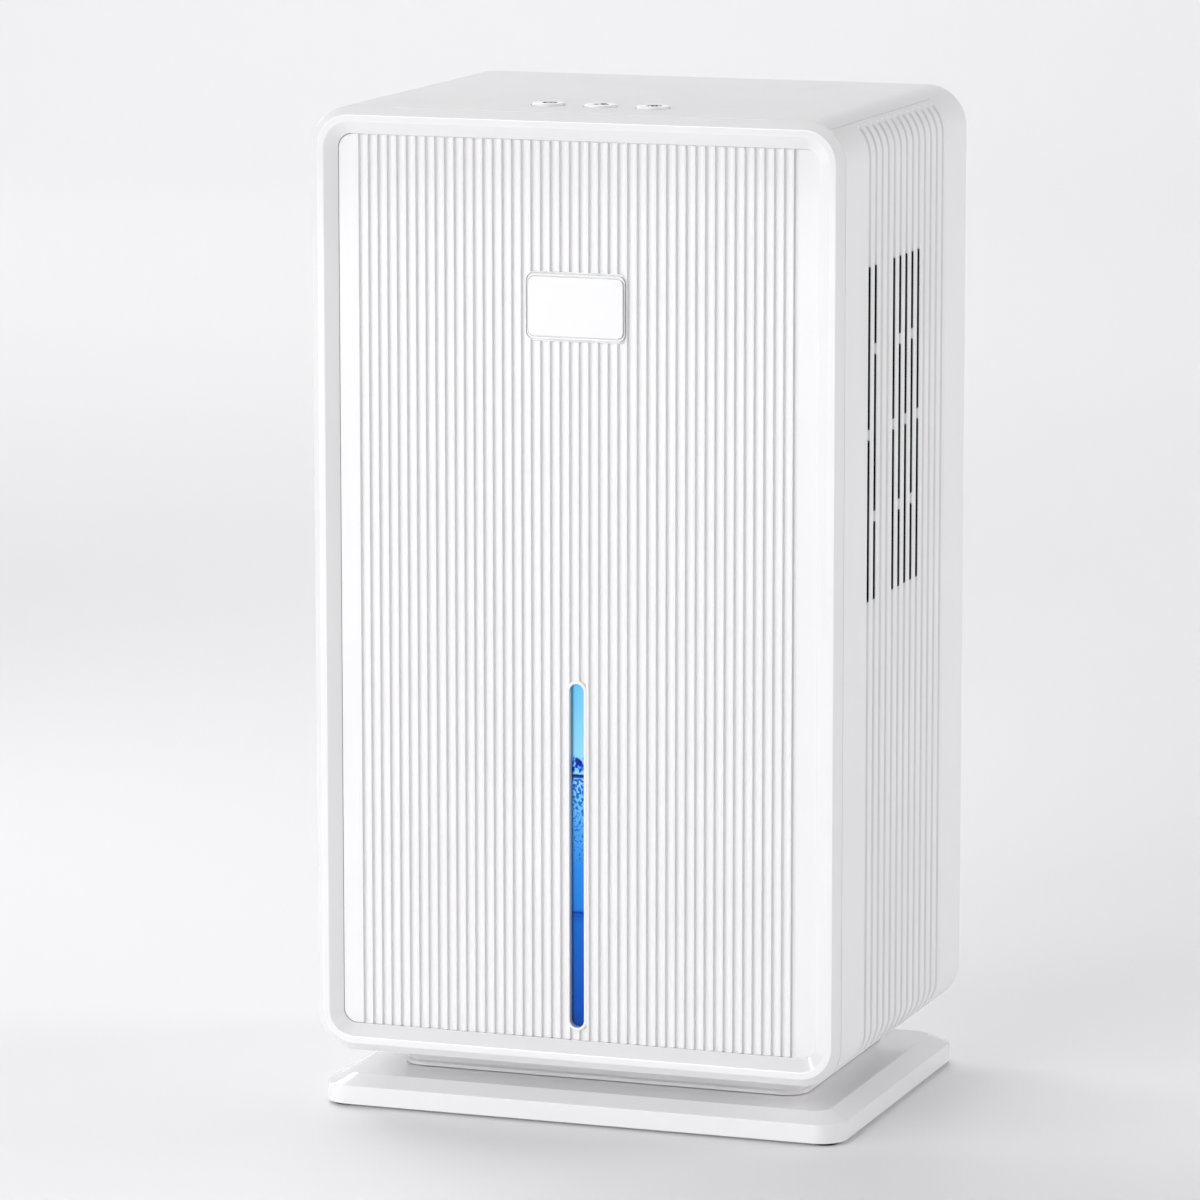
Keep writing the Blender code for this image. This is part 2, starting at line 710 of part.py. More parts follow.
def finned_block(half_width, low, high, base_front, base_back, fin_end, fins, fin_thickness):
    """A plate with upright fins on one face, as one comb outline run from low to high."""
    base_far, base_near = (base_back, base_front) if fin_end < base_front else (base_front, base_back)
    outline = [(-half_width, base_far), (half_width, base_far)]
    step = (2 * half_width - fin_thickness) / (fins - 1)
    for index in reversed(range(fins)):
        left = -half_width + index * step
        right = left + fin_thickness
        if index < fins - 1:
            outline.append((right, base_near))
        outline += [(right, fin_end), (left, fin_end)]
        if index > 0:
            outline.append((left, base_near))
    return prism(outline, low, high, "Z")


def make_cooling_stack(materials):
    hole = 36.0
    bulkhead = solid("bulkhead", block((-100.0, BULKHEAD_FRONT, DECK_BOTTOM + DECK_THICKNESS + GAP),
                                       (100.0, BULKHEAD_BACK, 360.0)), materials["inner_plastic"])
    cut(bulkhead, block((-hole, BULKHEAD_FRONT - 1.0, FAN_CENTRE - hole),
                        (hole, BULKHEAD_BACK + 1.0, FAN_CENTRE + hole)))
    outer = hole - GAP
    chip = 20.0
    rings = []
    for half, level in ((outer, BULKHEAD_FRONT), (outer, BULKHEAD_BACK), (chip + GAP, BULKHEAD_BACK),
                        (chip + GAP, BULKHEAD_FRONT)):
        square = [(-half, FAN_CENTRE - half), (half, FAN_CENTRE - half),
                  (half, FAN_CENTRE + half), (-half, FAN_CENTRE + half)]
        rings.append(lift(square, level, "Y"))
    solid("insulation_gasket", loft(rings, ring=True), materials["foam"])
    solid("peltier_module", block((-chip, BULKHEAD_FRONT, FAN_CENTRE - chip),
                                  (chip, BULKHEAD_BACK, FAN_CENTRE + chip)), materials["ceramic"])
    cold_back = BULKHEAD_FRONT - GAP
    cold_half = COLD_BASE / 2
    cold = finned_block(cold_half, FAN_CENTRE - cold_half, FAN_CENTRE + cold_half,
                        cold_back - 5.0, cold_back, cold_back - 33.0, 12, 1.5)
    solid("cold_heatsink", cold, materials["aluminium"])
    hot_front = BULKHEAD_BACK + GAP
    hot_half = HOT_BASE / 2
    hot = finned_block(hot_half, FAN_CENTRE - hot_half, FAN_CENTRE + hot_half,
                       hot_front, hot_front + 6.0, FAN_FRONT - 2.0, 16, 1.6)
    solid("hot_heatsink", hot, materials["aluminium"])


def make_drip_tray(materials):
    """A tray under the cold fins, with a spout down through the deck."""
    top = FAN_CENTRE - COLD_BASE / 2 - 4.0
    bottom = top - 9.0
    low = (-36.0, -60.0)
    high = (36.0, -24.0)
    thick = 1.8
    outer = rounded_rectangle(low, high, 4.0, 3)
    inner = rounded_rectangle((low[0] + thick, low[1] + thick), (high[0] - thick, high[1] - thick), 2.2, 3)
    rings = [lift(outer, bottom, "Z"), lift(outer, top, "Z"), lift(inner, top, "Z"), lift(inner, bottom + thick, "Z")]
    tray = solid("drip_tray", loft(rings), materials["inner_plastic"])
    spout_end = TANK_TOP + GAP + LID_THICKNESS + 1.5
    join(tray, rod((0.0, SPOUT_Y), 7.0, spout_end, bottom + 0.8, "Z"))
    cut(tray, rod((0.0, SPOUT_Y), 5.2, spout_end - 1.0, top, "Z"))


def blade_shape(angle):
    """One twisted blade, from inside the hub to the tip."""
    sections = []
    for radius, sweep, pitch in ((15.5, 24.0, 6.5), (22.0, 22.0, 6.0), (30.0, 20.0, 5.0), (ROTOR_TIP, 18.0, 4.2)):
        upper = []
        lower = []
        for share in (-1.0, 0.0, 1.0):
            turn = math.radians(angle + share * sweep)
            middle = (FAN_FRONT + FAN_REAR) / 2 - 2.5 + share * pitch - 0.9 * (1.0 - share * share)
            x = radius * math.cos(turn)
            z = FAN_CENTRE + radius * math.sin(turn)
            upper.append((x, middle + 0.7, z))
            lower.append((x, middle - 0.7, z))
        sections.append(upper + list(reversed(lower)))
    return loft(sections)


def make_fan(materials):
    half = FAN_SIZE / 2
    square = rounded_rectangle((-half, FAN_CENTRE - half), (half, FAN_CENTRE + half), 5.0, 3)
    frame = solid("fan_frame", prism(square, FAN_FRONT, FAN_REAR, "Y"), materials["dark_plastic"])
    cut(frame, rod((0.0, FAN_CENTRE), FAN_BORE, FAN_FRONT - 1.0, FAN_REAR + 1.0, "Y", 36))
    hub_front = FAN_REAR - 3.0
    for long_half, high_half in ((FAN_BORE + 1.0, 2.0), (2.0, FAN_BORE + 1.0)):
        join(frame, block((-long_half, hub_front + 0.4, FAN_CENTRE - high_half),
                          (long_half, FAN_REAR - 0.4, FAN_CENTRE + high_half)))
    join(frame, rod((0.0, FAN_CENTRE), 17.0, hub_front, FAN_REAR - 0.2, "Y", 20))
    screw_places = []
    offset = FAN_SCREW_PITCH / 2
    for x in (-offset, offset):
        for z in (FAN_CENTRE - offset, FAN_CENTRE + offset):
            screw_places.append((x, z))
    cut(frame, *[rod(place, SCREW_HOLE, FAN_FRONT - 1.0, FAN_REAR + 1.0, "Y", 12) for place in screw_places])
    for number, place in enumerate(screw_places, 1):
        make_screw("fan_screw_%d" % number, place, FAN_REAR + GAP, FAN_FRONT + 1.0, "Y", materials)

    cup_front = FAN_FRONT + 2.0
    cup_back = hub_front - 1.6
    shaft_radius = 1.5
    cup = (
        (0.0, cup_front),
        (ROTOR_HUB - 1.5, cup_front),
        (ROTOR_HUB, cup_front + 1.5),
        (ROTOR_HUB, cup_back),
        (ROTOR_HUB - 1.6, cup_back),
        (ROTOR_HUB - 1.6, cup_front + 2.0),
        (0.0, cup_front + 2.0),
    )
    origin = (0.0, (FAN_FRONT + FAN_REAR) / 2, FAN_CENTRE)
    centre = (0.0, FAN_CENTRE)
    rotor = solid("fan_rotor", turned(cup, centre, "Y", 21), materials["dark_plastic"], origin)
    for index in range(BLADE_COUNT):
        join(rotor, blade_shape(360.0 * index / BLADE_COUNT))
    shaft = rod(centre, shaft_radius, cup_front + 2.0 + GAP, hub_front - GAP - 0.4, "Y", 16)
    solid("fan_shaft", shaft, materials["steel"], origin)
    bearing_front = cup_front + 5.0
    bearing_back = hub_front - GAP
    bearing = []
    bearing_section = (
        (BEARING_OUTER, bearing_front),
        (BEARING_OUTER, bearing_back),
        (BEARING_INNER, bearing_back),
        (BEARING_INNER, bearing_front),
    )
    for radius, level in bearing_section:
        bearing.append(lift(arc(centre, radius, 0.0, 337.5, 15), level, "Y"))
    solid("fan_bearing", loft(bearing, ring=True), materials["brass"])
    stator = []
    stator_front = bearing_front + 0.5
    stator_back = hub_front - 1.0
    stator_inner = BEARING_OUTER + GAP
    stator_section = (
        (STATOR_OUTER, stator_front),
        (STATOR_OUTER, stator_back),
        (stator_inner, stator_back),
        (stator_inner, stator_front),
    )
    for radius, level in stator_section:
        stator.append(lift(arc(centre, radius, 0.0, 345.0, 23), level, "Y"))
    solid("fan_stator", loft(stator, ring=True), materials["copper"])


# Tank bay

def make_deck(materials):
    reach = HALF_WIDTH - WALL - 0.8
    deck = solid("mid_deck", block((-reach, FRONT + FRAME_SPIGOT_DEPTH + 1.0, DECK_BOTTOM),
                                   (reach, REAR - WALL - 0.6, DECK_BOTTOM + DECK_THICKNESS)),
                 materials["inner_plastic"])
    cut(deck, rod((0.0, SPOUT_Y), 9.0, DECK_BOTTOM - 1.0, DECK_BOTTOM + 5.0, "Z"))
    sensor_bottom = DECK_BOTTOM + DECK_THICKNESS + GAP
    x, y = FLOAT_CENTRE
    solid("full_sensor", block((x - 9.0, y - 6.0, sensor_bottom), (x + 9.0, y + 6.0, sensor_bottom + 4.0)),
          materials["circuit_board"])


def make_tank(materials):
    low = (-TANK_HALF_WIDTH, TANK_FRONT)
    high = (TANK_HALF_WIDTH, TANK_BACK)
    outer = rounded_rectangle(low, high, 8.0, 4)
    inside = (
        (low[0] + TANK_WALL, low[1] + TANK_WALL),
        (high[0] - TANK_WALL, high[1] - TANK_WALL),
    )
    inner = rounded_rectangle(inside[0], inside[1], 8.0 - TANK_WALL, 4)
    rings = [
        lift(outer, TANK_BOTTOM, "Z"),
        lift(outer, TANK_TOP, "Z"),
        lift(inner, TANK_TOP, "Z"),
        lift(inner, TANK_BOTTOM + TANK_WALL, "Z"),
    ]
    solid("water_tank", loft(rings), materials["clear_tank"])
    lid_bottom = TANK_TOP + GAP
    lid_top = lid_bottom + LID_THICKNESS
    lid = solid("tank_lid", prism(outer, lid_bottom, lid_top, "Z"), materials["inner_plastic"])
    cut(lid, rod((0.0, SPOUT_Y), 16.0, lid_bottom - 1.0, lid_top + 1.0, "Z"))

    x, y = FLOAT_CENTRE
    half = FLOAT_SIZE / 2
    solid("float", block((x - half, y - half, FLOAT_BOTTOM), (x + half, y + half, FLOAT_BOTTOM + FLOAT_HEIGHT)),
          materials["float_foam"], (x, y, FLOAT_BOTTOM))
    magnet_bottom = FLOAT_BOTTOM + FLOAT_HEIGHT + GAP
    solid("float_magnet", rod((x, y), 5.0, magnet_bottom, magnet_bottom + 3.0, "Z"), materials["magnet"],
          (x, y, magnet_bottom))
    wall = 1.6
    cage_low = FLOAT_BOTTOM - GAP - wall
    inner_half = half + 0.6
    outline = [
        (x - inner_half - wall, cage_low),
        (x + inner_half + wall, cage_low),
        (x + inner_half + wall, TANK_TOP - 0.2),
        (x + inner_half, TANK_TOP - 0.2),
        (x + inner_half, cage_low + wall),
        (x - inner_half, cage_low + wall),
        (x - inner_half, TANK_TOP - 0.2),
        (x - inner_half - wall, TANK_TOP - 0.2),
    ]
    solid("float_cage", prism(outline, y - half, y + half, "Y"), materials["inner_plastic"])
    make_tank_fascia(materials)


def make_tank_fascia(materials):
    """The tank's rear face, with a skirt towards the tank and a finger grip."""
    skirt = 2.0
    plate_front = REAR - WALL
    plate = rounded_rectangle((-FASCIA_HALF_WIDTH, TANK_BOTTOM), (FASCIA_HALF_WIDTH, FASCIA_TOP), FASCIA_CORNER, 5)
    outer = rounded_rectangle((-FASCIA_HALF_WIDTH + skirt, TANK_BOTTOM + skirt),
                              (FASCIA_HALF_WIDTH - skirt, TANK_TOP), FASCIA_CORNER - skirt, 5)
    inner = rounded_rectangle((-FASCIA_HALF_WIDTH + 2 * skirt, TANK_BOTTOM + 2 * skirt),
                              (FASCIA_HALF_WIDTH - 2 * skirt, TANK_TOP - skirt), 1.5, 5)
    rings = [
        lift(plate, REAR - 0.3, "Y"),
        lift(plate, plate_front, "Y"),
        lift(outer, plate_front, "Y"),
        lift(outer, TANK_BACK + GAP, "Y"),
        lift(inner, TANK_BACK + GAP, "Y"),
        lift(inner, plate_front, "Y"),
    ]
    fascia = solid("tank_fascia", loft(rings), materials["satin_white"])
    pocket_front = TANK_BACK + 2.0
    join(fascia, block((-GRIP_HALF_WIDTH - GRIP_WALL, pocket_front - GRIP_WALL + 0.5, GRIP_BOTTOM - GRIP_WALL),
                       (GRIP_HALF_WIDTH + GRIP_WALL, plate_front + 1.0, GRIP_TOP + GRIP_WALL)))
    pocket = rounded_rectangle((-GRIP_HALF_WIDTH, GRIP_BOTTOM), (GRIP_HALF_WIDTH, GRIP_TOP), GRIP_CORNER, 4)
    cut(fascia, prism(pocket, pocket_front + 0.5, REAR + 2.0, "Y"))


def make_bottom_pan(materials):
    """The body's floor, with the two rails that the tank slides on."""
    reach = HALF_WIDTH - BODY_CORNER - GAP
    pan = solid("bottom_pan", block((-reach, SHELL_FRONT, BODY_BOTTOM), (reach, SHELL_REAR, BODY_BOTTOM + WALL)),
                materials["satin_white"])
    for side in (-1, 1):
        x = side * BASE_SCREW_X
        join(pan, block((x - 5.0, -60.0, BODY_BOTTOM + 1.0), (x + 5.0, 50.0, TANK_BOTTOM - 0.4)))
    cut(pan, *[rod(place, SCREW_HOLE, BODY_BOTTOM - 1.0, TANK_BOTTOM - 1.5, "Z", 12)
               for place in base_screw_places()])


# Base

def base_screw_places():
    return [(side * BASE_SCREW_X, y) for side in (-1, 1) for y in BASE_SCREW_Y]


def neck_outline(grow):
    low = (-NECK_HALF_WIDTH - grow, NECK_FRONT - grow)
    high = (NECK_HALF_WIDTH + grow, NECK_REAR + grow)
    return rounded_rectangle(low, high, NECK_CORNER + grow, 4)


def make_neck(materials):
    """A plinth, open underneath, with a thin lip round its foot."""
    bottom = BASE_TOP + GAP
    top = BODY_BOTTOM - GAP
    lip = 1.4
    rings = [
        lift(neck_outline(-WALL), bottom, "Z"),
        lift(neck_outline(lip), bottom, "Z"),
        lift(neck_outline(lip), bottom + 1.3, "Z"),
        lift(neck_outline(0.0), bottom + 1.9, "Z"),
        lift(neck_outline(0.0), top, "Z"),
    ]
    roof = [lift(neck_outline(-WALL), top - WALL, "Z")]
    neck = solid("base_neck", loft(list(reversed(rings[1:])) + [rings[0]] + roof), materials["gloss_white"])
    posts = [rod(place, 5.0, bottom + 0.2, top - 1.0, "Z", 12) for place in base_screw_places()]
    join(neck, together(*posts))
    cut(neck, *[rod(place, SCREW_HOLE, bottom - 1.0, top + 1.0, "Z", 12) for place in base_screw_places()])


def base_outline(inset):
    low = (-BASE_HALF_WIDTH + inset, BASE_FRONT + inset)
    high = (BASE_HALF_WIDTH - inset, BASE_REAR - inset)
    return rounded_rectangle(low, high, BASE_CORNER - inset / 2, 5)


def foot_places():
    inset = 8.5
    places = []
    for x in (-BASE_HALF_WIDTH + inset, BASE_HALF_WIDTH - inset):
        for y in (BASE_FRONT + inset, BASE_REAR - inset):
            places.append((x, y))
    return places


def make_base(materials):
    """A flat plate, gently sloped round its top edge and hollow underneath, on four rubber feet."""
    rings = [
        lift(base_outline(17.0), BASE_TOP - 4.8, "Z"),
        lift(base_outline(17.0), BASE_BOTTOM, "Z"),
        lift(base_outline(0.0), BASE_BOTTOM, "Z"),
        lift(base_outline(0.0), BASE_EDGE_TOP, "Z"),
        lift(base_outline(BASE_SLOPE_WIDTH), BASE_TOP, "Z"),
    ]
    plate = solid("base_plate", loft(rings), materials["gloss_white"])
    pocket_top = BASE_BOTTOM + 1.3
    cut(plate, *[rod(place, FOOT_RADIUS + GAP, BASE_BOTTOM - 1.0, pocket_top, "Z", 16) for place in foot_places()])
    cut(plate, *[rod(place, SCREW_HOLE, BASE_BOTTOM, BASE_TOP + 1.0, "Z", 12) for place in base_screw_places()])
    for number, place in enumerate(foot_places(), 1):
        profile = ((0.0, 0.0), (FOOT_RADIUS - 0.5, 0.0), (FOOT_RADIUS, 0.5), (FOOT_RADIUS, pocket_top - GAP),
                   (0.0, pocket_top - GAP))
        solid("rubber_foot_%d" % number, turned(profile, place, "Z", 16), materials["rubber"])
    for number, place in enumerate(base_screw_places(), 1):
        make_screw("base_screw_%d" % number, place, BASE_TOP - 4.8 - GAP, TANK_BOTTOM - 2.2, "Z", materials)


def shade_smooth():
    for thing in bpy.context.scene.objects:
        thing.data.shade_smooth()
        thing.data.set_sharp_from_angle(angle=math.radians(32.0))


def main():
    for thing in list(bpy.data.objects):
        bpy.data.objects.remove(thing)
    materials = make_materials()
    make_front_frame(materials)
    make_front_panel(materials)
    make_badge_plate(materials)
    make_level_window(materials)
    make_side_shell("right_side_shell", 1, materials)
    make_side_shell("left_side_shell", -1, materials)
    make_intake_grille("right_intake_grille", 1, materials)
    make_intake_grille("left_intake_grille", -1, materials)
    make_top_panel(materials)
    make_controls(materials)
    make_rear_cover(materials)
    make_rear_fittings(materials)
    make_cooling_stack(materials)
    make_drip_tray(materials)
    make_fan(materials)
    make_deck(materials)
    make_tank(materials)
    make_bottom_pan(materials)
    make_neck(materials)
    make_base(materials)
    shade_smooth()


main()
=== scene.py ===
"""Looks for the tower dehumidifier: fine shells, procedural materials, studio light and camera.

Shapes are drawn in millimetres, in the frame of the CAD model, and solid() turns them into metres.
"""

import json
import math

import bmesh
import bpy
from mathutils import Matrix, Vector


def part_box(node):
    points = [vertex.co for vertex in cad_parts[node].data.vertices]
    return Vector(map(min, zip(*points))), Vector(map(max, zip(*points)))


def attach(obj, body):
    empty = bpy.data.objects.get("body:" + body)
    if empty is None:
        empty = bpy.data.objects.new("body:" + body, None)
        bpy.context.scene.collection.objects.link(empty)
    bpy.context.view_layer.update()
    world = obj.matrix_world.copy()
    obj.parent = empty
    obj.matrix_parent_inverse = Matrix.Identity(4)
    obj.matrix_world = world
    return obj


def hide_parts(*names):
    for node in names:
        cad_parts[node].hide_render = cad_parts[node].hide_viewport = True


MILLIMETRE = 0.001
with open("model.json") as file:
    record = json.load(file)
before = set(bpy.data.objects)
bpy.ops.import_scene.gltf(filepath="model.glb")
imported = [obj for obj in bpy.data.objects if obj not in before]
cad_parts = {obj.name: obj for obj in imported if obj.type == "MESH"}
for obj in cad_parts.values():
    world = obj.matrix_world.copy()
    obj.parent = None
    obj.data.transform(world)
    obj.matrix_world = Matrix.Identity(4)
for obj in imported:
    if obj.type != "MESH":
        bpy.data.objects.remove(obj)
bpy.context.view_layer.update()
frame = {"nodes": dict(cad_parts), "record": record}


def span(node):
    """Lowest and highest corner of a CAD node, in millimetres."""
    low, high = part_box(node)
    return low / MILLIMETRE, high / MILLIMETRE


# Places read from the frame
frame_low, frame_high = span("front_frame")
shell_low, shell_high = span("right_side_shell")
REAR = span("rear_cover")[1].y
window_low, window_high = span("window_lens")
badge_low, badge_high = span("badge_plate")
fascia_low, fascia_high = span("tank_fascia")
plate_low, plate_high = span("base_plate")
neck_low, neck_high = span("base_neck")

HALF_WIDTH = frame_high.x
BODY_BOTTOM = frame_low.z
BODY_TOP = frame_high.z
FRONT = frame_low.y
SHELL_FRONT = shell_low.y
SHELL_REAR = shell_high.y

# Body
BODY_CORNER = 16.5
CORNER_STEPS = 14
WALL = 2.4
GAP = 0.3
SEAM = 0.1
SEAM_BEVEL = 0.12

# Front frame
FRAME_CHAMFER_WIDTH = 3.3
FRAME_BAND = 2.65
REVEAL_WIDTH = 5.0
REVEAL_DEPTH = 3.4
FRAME_LIP_DEPTH = 4.4
FRAME_SPIGOT_DEPTH = 7.5
OPENING_INSET = FRAME_CHAMFER_WIDTH + FRAME_BAND + REVEAL_WIDTH

# Fluted panel
PANEL_INSET = 8.0
FLUTE_PITCH = 3.986
FLUTE_COUNT = 46
FIRST_FLUTE = -90.6
RIB_WIDTH = 1.15
RIB_TOP = FRONT + REVEAL_DEPTH + 0.1
PANEL_FACE = FRONT + FRAME_LIP_DEPTH + GAP
PANEL_BACK = FRONT + 7.0
OPENING_CLEARANCE = 0.25

# Badge
BADGE_RIM = 0.9
BADGE_GAP = 0.5
BADGE_FLANGE = 0.45
BADGE_STAND = 1.1
BADGE_STEP = 1.1
BADGE_GROOVE = 0.35
BADGE_CORNER = 3.0
BADGE_SIDE = 0.6
BADGE_FACE_CORNER = 2.6
BADGE_EDGE = 0.35

# Level window
WINDOW_RADIUS = 2.85
WINDOW_BOTTOM = window_low.z + 3.2
WINDOW_TOP = window_high.z - 3.2
WINDOW_COLLAR = 1.1
WINDOW_RECESS = 2.3

# Side shells; a shell's outline runs down from where the upper corner starts
QUARTER = BODY_CORNER * math.pi / 2
OUTLINE_LENGTH = 2 * QUARTER + BODY_TOP - BODY_BOTTOM - 2 * BODY_CORNER
TOP_SEAM_ANGLE = 36.0
GROOVE_COUNT = 13
GROOVE_PITCH = 8.175
GROOVE_WIDTH = 3.2
GROOVE_DEPTH = 1.3
GROOVE_END_ANGLE = 43.0
GROOVE_FLOOR = 0.8
GROOVE_EASE = 1.2
LAND_CROWN = 0.16
SLOT_WIDTH = 3.2
SLOT_BOTTOM = 212.0
SLOT_TOP = 344.0
SLOT_BRIDGE = 4.0
ONE_BRIDGE_SLOTS = (0, 4, 6, 8)
TWO_BRIDGE_SLOTS = (1, 5, 7)

# Buttons
BUTTON_NAMES = ("power", "mode", "light")
BUTTON_RADIUS = 6.6
BUTTON_HOLE = 7.0
BUTTON_COLLAR = 8.2
BUTTON_STEM = 1.8

# Rear
FAN_CENTRE = (SLOT_BOTTOM + SLOT_TOP) / 2
FAN_BORE = 38.0
EXHAUST_SLOT_WIDTH = 4.4
EXHAUST_BRIDGE = 4.0
INLET_RADIUS = 5.0
SCREW_HEAD = 3.6
FASCIA_CORNER = 5.0
GRIP_HALF_WIDTH = 34.0
GRIP_BOTTOM = 140.0
GRIP_TOP = 168.0
GRIP_CORNER = 6.0

# Base
BASE_SLOPE_WIDTH = 8.0
BASE_SLOPE_RISE = 3.7
BASE_CORNER = 11.0
BASE_RIM = 17.0
BASE_THICKNESS = 4.8
BASE_SCREW_HOLE = 2.25
NECK_CORNER = 8.0


# Outlines and solids, as pairs of vertices and faces

def arc(centre, radius, start, end, steps):
    """Points on an arc in a plane, with angles in degrees from the plane's first axis."""
    points = []
    for step in range(steps + 1):
        angle = math.radians(start + (end - start) * step / steps)
        points.append((centre[0] + radius * math.cos(angle), centre[1] + radius * math.sin(angle)))
    return points


def ring_points(centre, radius, steps):
    return arc(centre, radius, 0.0, 360.0 - 360.0 / steps, steps - 1)


def rounded_rectangle(low, high, radius, steps=CORNER_STEPS):
    """Outline between two opposite corners, anticlockwise from the lower right corner."""
    corners = (
        ((high[0] - radius, low[1] + radius), -90.0),
        ((high[0] - radius, high[1] - radius), 0.0),
        ((low[0] + radius, high[1] - radius), 90.0),
        ((low[0] + radius, low[1] + radius), 180.0),
    )
    points = []
    for centre, start in corners:
        points += arc(centre, radius, start, start + 90.0, steps)
    return points


def stadium(radius, low, high, steps=16):
    """Upright slot outline with round ends, centred on the vertical axis."""
    upper = arc((0.0, high - radius), radius, 0.0, 180.0, steps)
    return upper + arc((0.0, low + radius), radius, 180.0, 360.0, steps)


def body_outline(inset):
    """The body's outline seen from the front, moved inwards."""
    low = (-HALF_WIDTH + inset, BODY_BOTTOM + inset)
    high = (HALF_WIDTH - inset, BODY_TOP - inset)
    return rounded_rectangle(low, high, BODY_CORNER - inset)


def fillet(corners, steps=4):
    """A closed outline of (a, b, radius) corners, with an arc at each corner that has a radius."""
    points = []
    for index, (a, b, radius) in enumerate(corners):
        here = Vector((a, b))
        if radius == 0.0:
            points.append((a, b))
            continue
        before = (Vector(corners[index - 1][:2]) - here).normalized()
        after = (Vector(corners[(index + 1) % len(corners)][:2]) - here).normalized()
        half = before.angle(after) / 2
        centre = here + (before + after).normalized() * (radius / math.sin(half))
        start = here + before * (radius / math.tan(half)) - centre
        end = here + after * (radius / math.tan(half)) - centre
        first = math.atan2(start.y, start.x)
        sweep = (math.atan2(end.y, end.x) - first + math.pi) % (2 * math.pi) - math.pi
        for step in range(steps + 1):
            angle = first + sweep * step / steps
            points.append((centre.x + radius * math.cos(angle), centre.y + radius * math.sin(angle)))
    return points


def lift(outline, level, axis):
    """Place a flat outline at a level on an axis."""
    if axis == "X":
        return [(level, a, b) for a, b in outline]
    if axis == "Y":
        return [(a, level, b) for a, b in outline]
    return [(a, b, level) for a, b in outline]


def loft(sections, ring=False):
    """Skin a row of outlines of equal length; a ring closes on itself, anything else is capped."""
    count = len(sections[0])
    vertices = [point for section in sections for point in section]
    faces = []
    spans = len(sections) if ring else len(sections) - 1
    for number in range(spans):
        first = number * count
        second = ((number + 1) % len(sections)) * count
        for index in range(count):
            after = (index + 1) % count
            faces.append((first + index, first + after, second + after, second + index))
    if not ring:
        faces.append(tuple(range(count)))
        last = (len(sections) - 1) * count
        faces.append(tuple(last + index for index in range(count)))
    return vertices, faces


def prism(outline, low, high, axis):
    return loft([lift(outline, low, axis), lift(outline, high, axis)])


def block(low, high):
    outline = [(low[0], low[1]), (high[0], low[1]), (high[0], high[1]), (low[0], high[1])]
    return prism(outline, low[2], high[2], "Z")


def rod(centre, radius, low, high, axis, steps=32):
    return prism(ring_points(centre, radius, steps), low, high, axis)


def turned(profile, centre, axis, steps=48):
    """Turn (radius, level) points about an axis; the first and the last lie on it."""
    return loft([lift(ring_points(centre, radius, steps), level, axis) for radius, level in profile[1:-1]])


def together(*shapes):
    vertices = []
    faces = []
    for shape_vertices, shape_faces in shapes:
        start = len(vertices)
        vertices += shape_vertices
        faces += [tuple(start + index for index in face) for face in shape_faces]
    return vertices, faces


def solid(name, shape):
    """Make an object from a shape."""
    vertices, faces = shape
    mesh = bpy.data.meshes.new(name)
    mesh.from_pydata([tuple(value * MILLIMETRE for value in vertex) for vertex in vertices], [], faces)
    edit = bmesh.new()
    edit.from_mesh(mesh)
    bmesh.ops.recalc_face_normals(edit, faces=edit.faces)
    edit.to_mesh(mesh)
    edit.free()
    thing = bpy.data.objects.new(name, mesh)
    bpy.context.scene.collection.objects.link(thing)
    return thing


def apply_modifiers(thing):
    """Make the result of an object's modifiers its own mesh."""
    graph = bpy.context.evaluated_depsgraph_get()
    result = bpy.data.meshes.new_from_object(thing.evaluated_get(graph))
    thing.modifiers.clear()
    thing.data = result


def combine(thing, operation, shape):
    """Join a shape to an object, or cut it away, and keep the result as the object's own mesh."""
    tool = solid("tool", shape)
    step = thing.modifiers.new("step", "BOOLEAN")
    step.operation = operation
    step.solver = "EXACT"
    step.object = tool
    bpy.context.view_layer.update()
    apply_modifiers(thing)
    bpy.data.objects.remove(tool)
    return thing


def join(thing, *shapes):
    for shape in shapes:
        combine(thing, "UNION", shape)
    return thing


def cut(thing, *shapes):
    return combine(thing, "DIFFERENCE", together(*shapes))


def keep_flats_flat(thing):
    """Weight the normals by face area, so that large flat faces stay flat beside rounded edges."""
    step = thing.modifiers.new("step", "WEIGHTED_NORMAL")
    step.keep_sharp = True
    step.weight = 100
    apply_modifiers(thing)


def dress(thing, slot, body, *nodes, crease=35.0, finish=None):
    """Shade a finished piece, and tie it to its material, its body and the CAD nodes it stands for."""
    thing.data.shade_smooth()
    thing.data.set_sharp_from_angle(angle=math.radians(crease))
    keep_flats_flat(thing)
    thing.data.materials.clear()
    thing.data.materials.append(materials[finish or slot])
    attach(thing, body)
    if nodes:
        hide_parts(*nodes)
    return thing


# Materials

